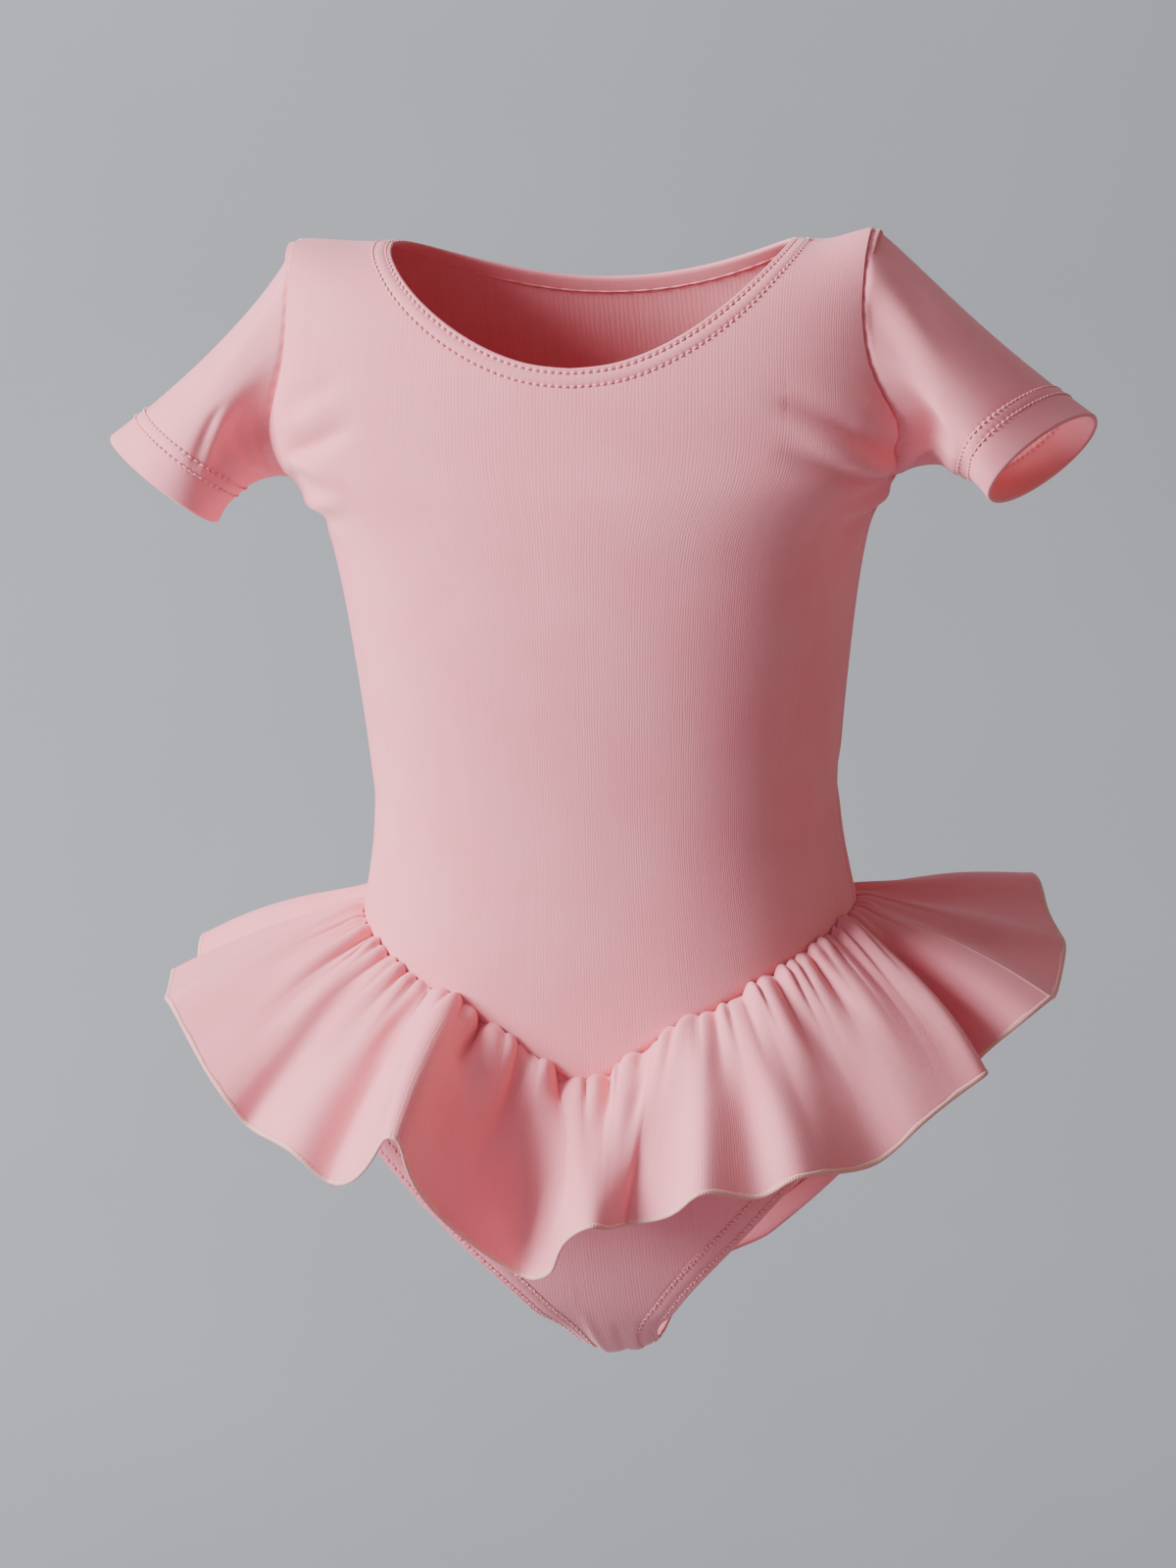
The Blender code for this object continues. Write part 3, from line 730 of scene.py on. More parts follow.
@dataclass(frozen=True)
class StitchRow:
    """A row of machine stitches between two lines on the cloth, which are one for a straight row."""

    pitch: float = 2.9 * MM
    share: float = 0.80
    radius: float = 0.33 * MM
    around: int = 5
    heights: Row = (-0.9, 0.3, 0.75, 0.3, -0.9)
    widths: Row = (0.6, 1.0, 1.1, 1.0, 0.6)

    def phases(self, line: Array) -> Array:
        """How many stitches lie before each point of a line.

        Args:
            line: points of the line.

        Returns:
            A count for each point, even at the last one.
        """
        length = run_lengths(line, 0)
        count = max(2, 2 * round(length[-1] / self.pitch / 2))
        return length / length[-1] * count

    def tubes(self, near: Array, far: Array, normals: Array, ring: bool) -> tuple:
        """The stitches of one row.

        Args:
            near: the line that holds every other needle hole.
            far: the line that holds the rest.
            normals: the cloth's normals along near.
            ring: the row closes on itself.

        Returns:
            The points, and how many stitches they make.
        """
        if ring:
            near, far, normals = (np.concatenate((a, a[:1])) for a in (near, far, normals))
        phase = self.phases(near)
        count = round(phase[-1])
        along = (1 - self.share) / 2 + np.linspace(0, self.share, len(self.heights))
        at = (np.arange(count)[:, None] + along[None]).ravel()
        near, far, normal = (
            np.stack([np.interp(at, phase, a[:, c]) for c in range(3)], axis=1)
            for a in (near, far, normals)
        )
        other = (1 - np.abs(at % 2 - 1))[:, None]
        place = (near * (1 - other) + far * other).reshape(count, -1, 3)
        normal = unit(normal).reshape(count, -1, 3)
        way = unit(np.gradient(place, axis=1))
        aside = unit(np.cross(way, normal))
        centre = place + normal * np.array(self.heights)[None, :, None] * self.radius
        angle = np.linspace(0, 2 * math.pi, self.around, endpoint=False)[None, None, :, None]
        size = self.radius * np.array(self.widths)[None, :, None, None]
        tube = centre[:, :, None] + size * (
            np.cos(angle) * aside[:, :, None] + np.sin(angle) * normal[:, :, None]
        )
        return tube.reshape(-1, 3), count

    def build(self, name: str, runs: list[tuple], material: Material) -> Piece:
        """Makes one piece of several rows.

        Args:
            name: the piece's name.
            runs: (near, far, normals, ring) for each row.
            material: the thread's material.

        Returns:
            The new object.
        """
        rings, around = len(self.heights), self.around
        one = [tuple(range(around))[::-1], tuple((rings - 1) * around + a for a in range(around))]
        for r in range(rings - 1):
            for a in range(around):
                b = (a + 1) % around
                here, there = r * around, (r + 1) * around
                one.append((here + a, here + b, there + b, there + a))
        points, faces, base = [], [], 0
        for run in runs:
            tube, count = self.tubes(*run)
            points.append(tube)
            for stitch in range(count):
                faces += [tuple(base + stitch * rings * around + c for c in face) for face in one]
            base += len(tube)
        mesh = bpy.data.meshes.new(name)
        mesh.from_pydata(np.concatenate(points).tolist(), [], faces)
        mesh.materials.append(material)
        mesh.flip_normals()
        mesh.shade_smooth()
        return into_scene(name, mesh)


def needle_dimples(phase: Array, off: Array, swing: float, depth: float, reach: float) -> Array:
    """How far the thread pulls the cloth in round its needle holes.

    Args:
        phase: how many stitches lie before each point.
        off: distance of each point from the middle of the row.
        swing: how far the holes lie from the middle of the row, to and fro.
        depth: how deep the holes are.
        reach: how wide they are.

    Returns:
        The drop, for off and phase together.
    """
    hole_long, groove = 0.19, 0.25
    nearest = np.round(phase)
    hole = swing * (2 * (1 - np.abs(nearest % 2 - 1)) - 1)
    along = bell(phase - nearest, hole_long)
    return depth * (along * bell(off - hole, reach) + groove * bell(off, 2 * reach))


# Finishes


class Desk:
    """Adds nodes to a node tree, each to the right of the last."""

    step: int = 180

    def __init__(self, tree: bpy.types.NodeTree) -> None:
        """Keeps the tree."""
        self.tree = tree
        self.place = 0

    def add(self, kind: str, **values: object) -> bpy.types.Node:
        """Adds a node.

        Args:
            kind: the node's type.
            values: properties to set on it.

        Returns:
            The new node.
        """
        node = self.tree.nodes.new(kind)
        node.location = (self.place, 0)
        self.place += self.step
        for key, value in values.items():
            setattr(node, key, value)
        return node

    def feed(self, socket: Socket, value: object) -> None:
        """Links an output to a socket, or sets the socket to a value.

        Args:
            socket: the input.
            value: the output or the value.
        """
        if isinstance(value, Socket):
            self.tree.links.new(value, socket)
        else:
            socket.default_value = value

    def math(self, operation: str, *values: object) -> Socket:
        """Adds a Math node.

        Args:
            operation: what it works out.
            values: outputs or numbers to work on.

        Returns:
            Its result.
        """
        node = self.add("ShaderNodeMath", operation=operation)
        for socket, value in zip(node.inputs, values):
            self.feed(socket, value)
        return node.outputs[0]

    def stretch(self, vector: Socket, *scale: float) -> Socket:
        """Scales a vector.

        Args:
            vector: the vector's output.
            scale: the factors for X, Y and Z.

        Returns:
            The scaled vector.
        """
        node = self.add("ShaderNodeVectorMath", operation="MULTIPLY")
        self.feed(node.inputs[0], vector)
        node.inputs[1].default_value = scale
        return node.outputs[0]

    def noise(self, vector: Socket, detail: float = 2.0) -> Socket:
        """Adds noise at scale 1.

        Args:
            vector: where it is read.
            detail: how many finer layers it has.

        Returns:
            A value from 0 to 1.
        """
        node = self.add("ShaderNodeTexNoise")
        self.feed(node.inputs["Vector"], vector)
        node.inputs["Scale"].default_value = 1.0
        node.inputs["Detail"].default_value = detail
        return node.outputs[0]

    def ramp(
        self, value: Socket, low: float, high: float, start: float, end: float
    ) -> Socket:
        """Maps a value smoothly.

        Args:
            value: the value.
            low: the value that gives start.
            high: the value that gives end.
            start: result at low and below.
            end: result at high and above.

        Returns:
            The mapped value.
        """
        node = self.add("ShaderNodeMapRange", interpolation_type="SMOOTHSTEP")
        for socket, number in zip(node.inputs, (value, low, high, start, end)):
            self.feed(socket, number)
        return node.outputs[0]

    def mix(self, factor: object, first: object, second: object) -> Socket:
        """Mixes two colours.

        Args:
            factor: 0 for the first colour, 1 for the second.
            first: an output, or red, green, blue and alpha.
            second: the same for the second colour.

        Returns:
            The mixed colour.
        """
        node = self.add("ShaderNodeMix", data_type="RGBA")
        for key, value in (("Factor_Float", factor), ("A_Color", first), ("B_Color", second)):
            socket = next(s for s in node.inputs if s.identifier == key)
            self.feed(socket, value)
        return next(s for s in node.outputs if s.identifier == "Result_Color")

    def bump(self, shader: bpy.types.Node, height: Socket, deep: float) -> None:
        """Raises the surface of a shader.

        Args:
            shader: the shader node.
            height: the height's output, from 0 to about 1.
            deep: how far 1 stands out, in metres.
        """
        node = self.add("ShaderNodeBump")
        node.inputs["Strength"].default_value = 1.0
        node.inputs["Distance"].default_value = deep
        self.feed(node.inputs["Height"], height)
        self.feed(shader.inputs["Normal"], node.outputs[0])


def new_material(name: str) -> tuple[Material, Desk, bpy.types.Node]:
    """Starts a material.

    Args:
        name: its name.

    Returns:
        The material, a desk for its nodes and its Principled shader.
    """
    material = bpy.data.materials.new(name)
    material.use_nodes = True
    return material, Desk(material.node_tree), material.node_tree.nodes["Principled BSDF"]


def new_group(name: str, inputs: tuple[tuple[str, str], ...], outputs: tuple[str, ...]) -> tuple:
    """An empty shader node group.

    Args:
        name: the group's name.
        inputs: (name, socket type) for each input.
        outputs: names of its value outputs.

    Returns:
        The group, its input node and its output node.
    """
    group = bpy.data.node_groups.new(name, "ShaderNodeTree")
    for word, kind in inputs:
        group.interface.new_socket(word, in_out="INPUT", socket_type=kind)
    for word in outputs:
        group.interface.new_socket(word, in_out="OUTPUT", socket_type="NodeSocketFloat")
    return group, group.nodes.new("NodeGroupInput"), group.nodes.new("NodeGroupOutput")


@dataclass
class KnitGroup:
    """Shared effect: the ribs and courses of a fine knit, slubs in its yarn and soft mottling.

    Each scale is how often a noise changes for each metre across and down the cloth.
    """

    wander_scale: Row = (420, 60, 1)
    wander: float = 1.3
    course_deep: float = 0.16
    slub_scale: Row = (190, 2100, 1)
    slub_range: Pair = (0.62, 0.80)
    slub_high: float = 0.55
    fibre_scale: Row = (2600, 2600, 1)
    fibre_high: float = 0.7
    streak_scale: Row = (1500, 14, 1)
    mottle_scale: Row = (34, 26, 1)

    def __post_init__(self) -> None:
        """Builds the group once."""
        vector, number = "NodeSocketVector", "NodeSocketFloat"
        inputs = (("Cloth", vector), ("Wale Pitch", number), ("Course Pitch", number))
        outputs = ("Height", "Rib", "Streak", "Slub", "Mottle")
        self.tree, given, out = new_group("fine_knit", inputs, outputs)
        desk = Desk(self.tree)
        cloth = given.outputs["Cloth"]
        split = desk.add("ShaderNodeSeparateXYZ")
        desk.feed(split.inputs[0], cloth)
        wander = desk.noise(desk.stretch(cloth, *self.wander_scale))
        wander = desk.math("MULTIPLY", desk.math("SUBTRACT", wander, 0.5), self.wander)
        wale = desk.math("DIVIDE", split.outputs[0], given.outputs["Wale Pitch"])
        wale = desk.math("ADD", wale, wander)
        rib = desk.math("PINGPONG", wale, 0.5)
        rib = desk.math("SINE", desk.math("MULTIPLY", rib, math.pi))
        course = desk.math("DIVIDE", split.outputs[1], given.outputs["Course Pitch"])
        course = desk.math("COSINE", desk.math("MULTIPLY", course, 2 * math.pi))
        course = desk.math("MULTIPLY_ADD", course, self.course_deep, 1 - self.course_deep)
        height = desk.math("MULTIPLY", rib, course)
        slub = desk.noise(desk.stretch(cloth, *self.slub_scale), 3.0)
        slub = desk.ramp(slub, *self.slub_range, 0.0, 1.0)
        fibres = desk.noise(desk.stretch(cloth, *self.fibre_scale))
        height = desk.math("MULTIPLY_ADD", slub, self.slub_high, height)
        height = desk.math("MULTIPLY_ADD", fibres, self.fibre_high, height)
        streak = desk.noise(desk.stretch(cloth, *self.streak_scale), 1.0)
        mottle = desk.noise(desk.stretch(cloth, *self.mottle_scale), 3.0)
        for word, value in zip(outputs, (height, rib, streak, slub, mottle)):
            desk.feed(out.inputs[word], value)


@dataclass(frozen=True)
class JerseyFinish:
    """Matte cotton jersey with a fine vertical rib, a soft nap and small slubs. The rib valleys are
    painted darker, as painted shade, and the slubs are painted lighter, as a painted highlight.

    The streaks, the painted valley shade, the painted slub highlights and the mottling each have a
    strength, and the ranges are the noise values between which each comes in.
    """

    name: str
    colour: tuple[float, float, float] = (0.95, 0.285, 0.335)
    deep: tuple[float, float, float] = (0.83, 0.195, 0.235)
    pale: tuple[float, float, float] = (0.97, 0.42, 0.45)
    wale_pitch: float = 0.85 * MM
    course_pitch: float = 0.70 * MM
    bump: float = 0.055 * MM
    streaks: float = 0.16
    streak_range: Pair = (0.35, 0.7)
    # Painted shade: how much darker the rib valleys are painted, and the rib values over which it fades
    # out.
    valley_shade_strength: float = 0.20
    valley_shade_range: Pair = (0.0, 0.6)
    # Painted highlight: how much lighter the slubs are painted where they catch the light; their raised
    # bump is real.
    slub_glints: float = 0.22
    mottling: float = 0.22
    mottle_range: Pair = (0.3, 0.7)
    roughness: float = 0.86
    rough_swing: float = 0.08
    sheen: float = 0.30
    sheen_roughness: float = 0.45
    sheen_tint: tuple[float, float, float] = (1.0, 0.86, 0.88)
    gloss: float = 0.25

    def material(self, knit: KnitGroup) -> Material:
        """Makes the material.

        Args:
            knit: the shared knit effect.

        Returns:
            The new material.
        """
        material, desk, shader = new_material(self.name)
        places = desk.add("ShaderNodeUVMap", uv_map="cloth")
        cloth = desk.add("ShaderNodeGroup", node_tree=knit.tree)
        desk.feed(cloth.inputs["Cloth"], places.outputs[0])
        cloth.inputs["Wale Pitch"].default_value = self.wale_pitch
        cloth.inputs["Course Pitch"].default_value = self.course_pitch
        streak = desk.ramp(cloth.outputs["Streak"], *self.streak_range, 0.0, self.streaks)
        colour = desk.mix(streak, (*self.colour, 1), (*self.deep, 1))
        # Painted shade: the cloth is mixed towards the deep colour in the valleys between the ribs,
        # where shade falls.
        valley_shade_mix = desk.ramp(cloth.outputs["Rib"], *self.valley_shade_range, self.valley_shade_strength, 0.0)
        colour = desk.mix(valley_shade_mix, colour, (*self.deep, 1))
        # The slubs are raised by the bump and also painted lighter, a painted highlight.
        slub = desk.math("MULTIPLY", cloth.outputs["Slub"], self.slub_glints)
        colour = desk.mix(slub, colour, (*self.pale, 1))
        mottle = desk.ramp(cloth.outputs["Mottle"], *self.mottle_range, 0.0, self.mottling)
        colour = desk.mix(mottle, colour, (*self.pale, 1))
        desk.feed(shader.inputs["Base Color"], colour)
        least = self.roughness - self.rough_swing / 2
        rough = desk.math("MULTIPLY_ADD", cloth.outputs["Mottle"], self.rough_swing, least)
        desk.feed(shader.inputs["Roughness"], rough)
        desk.bump(shader, cloth.outputs["Height"], self.bump)
        shader.inputs["Sheen Weight"].default_value = self.sheen
        shader.inputs["Sheen Roughness"].default_value = self.sheen_roughness
        shader.inputs["Sheen Tint"].default_value = (*self.sheen_tint, 1)
        shader.inputs["Specular IOR Level"].default_value = self.gloss
        return material


@dataclass(frozen=True)
class ThreadFinish:
    """Spun polyester sewing thread, with the twist of its plies.

    ply and blotch are how often a fine and a wide noise change for each metre, and their
    shades say how strongly they darken the thread.
    """

    name: str
    colour: tuple[float, float, float]
    deep: tuple[float, float, float]
    ply: float = 2600.0
    ply_range: Pair = (0.35, 0.65)
    ply_shade: float = 0.5
    blotch: float = 160.0
    blotch_shade: float = 0.4
    bump: float = 0.05 * MM
    roughness: float = 0.55
    sheen: float = 0.2

    def material(self) -> Material:
        """Makes the material.

        Returns:
            The new material.
        """
        material, desk, shader = new_material(self.name)
        place = desk.add("ShaderNodeTexCoord").outputs["Object"]
        plies = desk.noise(desk.stretch(place, self.ply, self.ply, self.ply))
        shade = desk.ramp(plies, *self.ply_range, 0.0, self.ply_shade)
        wide = desk.noise(desk.stretch(place, self.blotch, self.blotch, self.blotch))
        shade = desk.math("MULTIPLY_ADD", wide, self.blotch_shade, shade)
        colour = desk.mix(shade, (*self.colour, 1), (*self.deep, 1))
        desk.feed(shader.inputs["Base Color"], colour)
        desk.bump(shader, plies, self.bump)
        shader.inputs["Roughness"].default_value = self.roughness
        shader.inputs["Sheen Weight"].default_value = self.sheen
        return material


@dataclass
class Wardrobe:
    """All the finishes of the garment, each made once."""

    knit: KnitGroup = field(default_factory=KnitGroup)

    def __post_init__(self) -> None:
        """Makes the materials."""
        self.jersey = JerseyFinish("rose_jersey").material(self.knit)
        # The wrong side's slubs get a weaker painted highlight.
        self.back = JerseyFinish(
            "rose_jersey_wrong_side",
            colour=(0.90, 0.28, 0.32), wale_pitch=1.2 * MM, course_pitch=0.55 * MM, slub_glints=0.15,
        ).material(self.knit)
        self.edging = JerseyFinish(
            "rose_edging", colour=(0.93, 0.28, 0.325), streaks=0.12
        ).material(self.knit)
        self.thread = ThreadFinish(
            "rose_thread", (0.96, 0.47, 0.49), (0.86, 0.28, 0.32)
        ).material()
        self.overlock = ThreadFinish(
            "cream_overlock_thread", (0.95, 0.49, 0.43), (0.72, 0.26, 0.22)
        ).material()


# The garment's pieces


@dataclass
class Cloth:
    """What every cut piece shares: the figure, the cut, the finishes and the wall's thickness.

    roll is how far cloth turns in at a seam, tucked_reach how wide it does so where it slips
    under an edge, and back_on how far along the flat cloth the back is cut.
    """

    cut: Cut
    wardrobe: Wardrobe
    wall: float = 0.9 * MM
    roll: float = 1.0 * MM
    tucked_reach: float = 0.75 * MM
    back_on: float = 0.5

    @property
    def figure(self) -> Figure:
        """The figure that the cut lies on."""
        return self.cut.figure

    def rolled(self, distance: Array, reach: float | Array = SEAM_REACH) -> Array:
        """How far cloth turns in at a sewn edge, by its distance from the edge."""
        return -self.roll * bell(distance, reach)

    def cloth_places(self, side: Side, chart: Array) -> Array:
        """Places on the flat cloth for a grid of (turn, level).

        Args:
            side: front or back.
            chart: rows, columns, (turn, level).

        Returns:
            rows, columns, 2 in metres.
        """
        height = self.figure.sizes(chart[..., 1])[..., 0]
        across = chart[..., 0] * self.figure.round_trip / 4
        return np.stack((across + self.back_on * (side is Side.BACK), height), axis=-1)


@dataclass
class Panel(Cloth):
    """A front or back panel: the bodice above the waist seam or the brief below it."""

    side: Side = Side.FRONT
    creases: tuple[Crease, ...] = ()

    def surface(self, chart: Array, dip: Array) -> Array:
        """A face of the panel with its creases.

        Args:
            chart: rows, columns, (turn, level).
            dip: how far each point lies off the figure before them.

        Returns:
            rows, columns, 3.
        """
        turn, level = chart[..., 0], chart[..., 1]
        points = self.figure.point(self.side, turn, level)
        lift = all_lifts(self.creases, points[..., 0] / MM, points[..., 2] / MM) + dip
        return points + self.figure.normal(self.side, turn, level) * lift[..., None]

    def wall_of(self, name: str, chart: Array, dip: Array) -> Piece:
        """Builds the closed wall of the panel.

        Args:
            name: the piece's name.
            chart: rows, columns, (turn, level).
            dip: how far the outer face lies off the figure.

        Returns:
            The new object.
        """
        outer = self.surface(chart, dip)
        inner = self.surface(chart, dip - self.wall)
        places = self.cloth_places(self.side, chart)
        sweep = ClosedSweep.of_wall(name, outer, inner, places)
        return sweep.build(self.wardrobe.jersey, self.wardrobe.back)


@dataclass
class Bodice(Panel):
    """The upper front or back, from the waist seam to the neck, shoulders and armholes."""

    rows: int = 128
    tuck: float = 1.2 * MM
    pucker: float = 0.22 * MM
    pucker_pitch: float = 7.5 * MM
    deepest: float = 1.15
    lean: float = 0.4
    flat: Pair = (0.262, 0.336)
    area: float = 0.0665

    def top(self) -> tuple[Array, Array]:
        """The upper edge, over the neck, shoulders and armholes.

        Returns:
            Its path, and how wide the cloth turns in at each point.
        """
        neck = self.cut.neck(self.side, self.cut.neck_band - self.tuck)
        finer, halves = self.cut.finer, []
        for hand in (Hand.LEFT, Hand.RIGHT):
            armhole = self.cut.armhole(self.side, hand, self.cut.armhole_columns * finer)
            shoulder = np.zeros((self.cut.shoulder_columns * finer + 1, 2))
            shoulder[:, 0] = np.linspace(neck[-1, 0] * hand.value, armhole[0, 0], len(shoulder))
            halves.append(np.concatenate((neck * (hand.value, 1), shoulder[1:], armhole[1:])))
        left, right = halves
        reach = np.full(len(left), SEAM_REACH)
        reach[: len(neck)] = self.tucked_reach
        return np.concatenate((right[:0:-1], left)), np.concatenate((reach[:0:-1], reach))

    def build(self) -> Piece:
        """Makes the panel.

        Returns:
            The new object.
        """
        top, reach = self.top()
        turn = np.linspace(-1, 1, len(top))
        seam = self.cut.seam(self.side, turn, self.figure.seam_gap / 2)
        chart = between(seam, top, close_ends(self.rows, lean=self.lean))
        points = self.figure.point(self.side, chart[..., 0], chart[..., 1])
        up, along = run_lengths(points, 0), run_lengths(points, 1)
        puckers = 1 + self.pucker / self.roll * np.sin(2 * math.pi * along[-1] / self.pucker_pitch)
        dip = self.rolled(up) + self.rolled(up[-1] - up, reach) * puckers
        sides = self.rolled(along) + self.rolled(along[:, -1:] - along)
        dip = np.maximum(dip + sides, -self.roll * self.deepest)
        word = self.side.word
        piece = self.wall_of(f"bodice_{word}_cloth", chart, dip)
        return dressed(piece, "jersey", f"bodice_{word}")


@dataclass
class Brief(Panel):
    """The lower front or back, from the waist seam to the leg edges and the crotch seam.

    middle is the turn at the waist seam above the end of the crotch seam.
    """

    rows: int = 50
    tuck: float = 1.2 * MM
    spread: float = 3.0
    middle: float = 0.02
    flat: Pair = (0.235, 0.16)
    area: float = 0.0240

    def build(self) -> Piece:
        """Makes the panel.

        Returns:
            The new object.
        """
        leg = self.cut.leg(self.side, self.cut.leg_band - self.tuck)[::-1]
        count = self.cut.crotch_columns * self.cut.finer
        crotch = np.linspace(0, leg[0, 0], count + 1)[:-1]
        crotch = np.stack((crotch, np.full(count, float(self.figure.last_level))), axis=1)
        bottom = np.concatenate((crotch, leg))
        turn = np.linspace(0, self.middle, count + 1)[:-1]
        turn = np.append(turn, np.linspace(self.middle, 1, len(leg)))
        seam = self.cut.seam(self.side, turn, -self.figure.seam_gap / 2)
        chart = between(mirrored(seam), mirrored(bottom), close_ends(self.rows), self.spread)
        points = self.figure.point(self.side, chart[..., 0], chart[..., 1])
        down, along = run_lengths(points, 0), run_lengths(points, 1)
        reach = np.full(points.shape[1], self.tucked_reach)
        middle = len(reach) // 2
        reach[middle - count : middle + count + 1] = SEAM_REACH
        dip = self.rolled(down) + self.rolled(down[-1] - down, reach)
        dip = dip + self.rolled(along) + self.rolled(along[:, -1:] - along)
        word = self.side.word
        piece = self.wall_of(f"brief_{word}_cloth", chart, np.maximum(dip, -self.roll))
        return dressed(piece, "jersey", f"brief_{word}")


@dataclass
class TurnedEdge(Cloth):
    """An edge turned over elastic and stitched down with two rows.

    section holds the loop of the edge's cross-section: the distance in from the edge and the
    height above the cloth, in millimetres. rows_at holds the distances in of the two rows. The
    dimples of the needle and the ribs that the thread raises are in millimetres too.
    """

    section: tuple[Pair, ...] = ()
    rows_at: Pair = (2.1, 7.3)
    width: float = 8.0 * MM
    kind: StitchKind = StitchKind.STRAIGHT
    row: StitchRow = StitchRow()
    dimple: float = 0.5
    dimple_reach: float = 0.6
    ribs: float = 0.10
    rib_off: float = 1.6
    rib_reach: float = 1.2
    face_above: float = -0.4
    thread_high: float = 0.1
    finer: int = 30
    flat: Pair = (0.0, 0.0)

    def grid(self, side: Side, edge: Array, inset: Array, where: Array) -> tuple:
        """Points of the smooth edge at distances in from it and heights above the cloth.

        Args:
            side: front or back.
            edge: path at the edge.
            inset: path at the band's width.
            where: rows of (distance in, height), in millimetres.

        Returns:
            Points and normals, rows by columns.
        """
        chart = between(edge, inset, where[:, 0] * MM / self.width)
        turn, level = chart[..., 0], np.clip(chart[..., 1], 0, self.figure.last_level)
        normals = self.figure.normal(side, turn, level)
        points = self.figure.point(side, turn, level)
        return points + normals * (where[:, 1:] * MM)[..., None], normals

    def stretch(self, where: Array) -> tuple[Array, Array]:
        """The grid along the whole edge, for rows of (distance in, height)."""
        raise NotImplementedError

    def lines(self) -> list[tuple[Array, Array, Array]]:
        """The lines that the stitches are sewn along.

        Returns:
            The near line, the far line and the normals of each row.
        """
        found, swing = [], self.kind.value
        for at in self.rows_at:
            where = [(at + way * swing, self.thread_high) for way in (-1, 1)]
            (near, far), normals = self.stretch(np.array(where))
            found.append((near, far, normals[0]))
        return found

    def make(self, name: str, node: str, thread: str, ring: bool) -> tuple:
        """Makes the edge and its two rows of stitches.

        Args:
            name: the edge's name.
            node: the solid that it stands for.
            thread: the name of its stitches.
            ring: the edge closes on itself.

        Returns:
            The edge and its stitches.
        """
        section = np.array(self.section)
        points, normals = self.stretch(section)
        lines = self.lines()
        outside = (section[:, 1] > self.face_above)[:, None]
        lift = np.zeros(points.shape[:2])
        for at, (near, _, _) in zip(self.rows_at, lines):
            line = np.concatenate((near, near[:1])) if ring else near
            phase = self.row.phases(line)[: len(near)][None]
            off = section[:, :1] - at
            lift = lift - needle_dimples(phase, off, self.kind.value, self.dimple, self.dimple_reach)
            beside = bell(off + self.rib_off * np.sign(off), self.rib_reach)
            ribs = np.cos(2 * math.pi * phase) * beside
            lift = lift - self.ribs * ribs
        points = points + normals * (lift * outside * MM)[..., None]
        along = run_lengths(points, 1)[:1]
        down = run_lengths(section, 0)[:, None] * MM
        places = np.stack(np.broadcast_arrays(along, down), axis=-1)
        sweep = ClosedSweep(name, points, places, ring, float(along.max()))
        piece = dressed(sweep.build(self.wardrobe.edging), "edging", node)
        runs = [(near, far, way, ring) for near, far, way in lines]
        stitches = dressed(self.row.build(thread, runs, self.wardrobe.thread), "edging")
        return piece, stitches


@dataclass
class NeckEdge(TurnedEdge):
    """The front or back stretch of the neck's turned edge."""

    side: Side = Side.FRONT
    section: tuple[Pair, ...] = (
        (8.0, -0.5), (7.96, -0.14), (7.8, -0.04), (7.55, -0.02), (7.3, 0.0), (7.05, 0.04),
        (6.7, 0.14), (6.1, 0.28), (5.2, 0.36), (4.0, 0.36), (3.2, 0.27), (2.7, 0.15),
        (2.4, 0.09), (2.1, 0.08), (1.8, 0.1), (1.4, 0.18), (0.9, 0.2), (0.4, 0.08),
        (0.06, -0.22), (0.0, -0.7), (0.15, -1.1), (0.7, -1.5), (2.0, -1.65), (4.0, -1.7),
        (6.0, -1.65), (7.4, -1.5), (7.9, -1.2), (8.02, -0.85),
    )
    flat: Pair = (0.235, 0.010)

    def stretch(self, where: Array) -> tuple[Array, Array]:
        """The grid from shoulder to shoulder.

        Args:
            where: rows of (distance in, height), in millimetres.

        Returns:
            Points and normals, rows by columns.
        """
        edge, inset = (
            mirrored(self.cut.neck(self.side, deep, self.finer)) for deep in (0.0, self.width)
        )
        return self.grid(self.side, edge, inset, where)

    def build(self) -> tuple[Piece, Piece]:
        """Makes the edge and its stitches."""
        word = self.side.word
        return self.make(f"neck_edge_{word}", f"neck_band_{word}", f"neck_stitches_{word}", False)


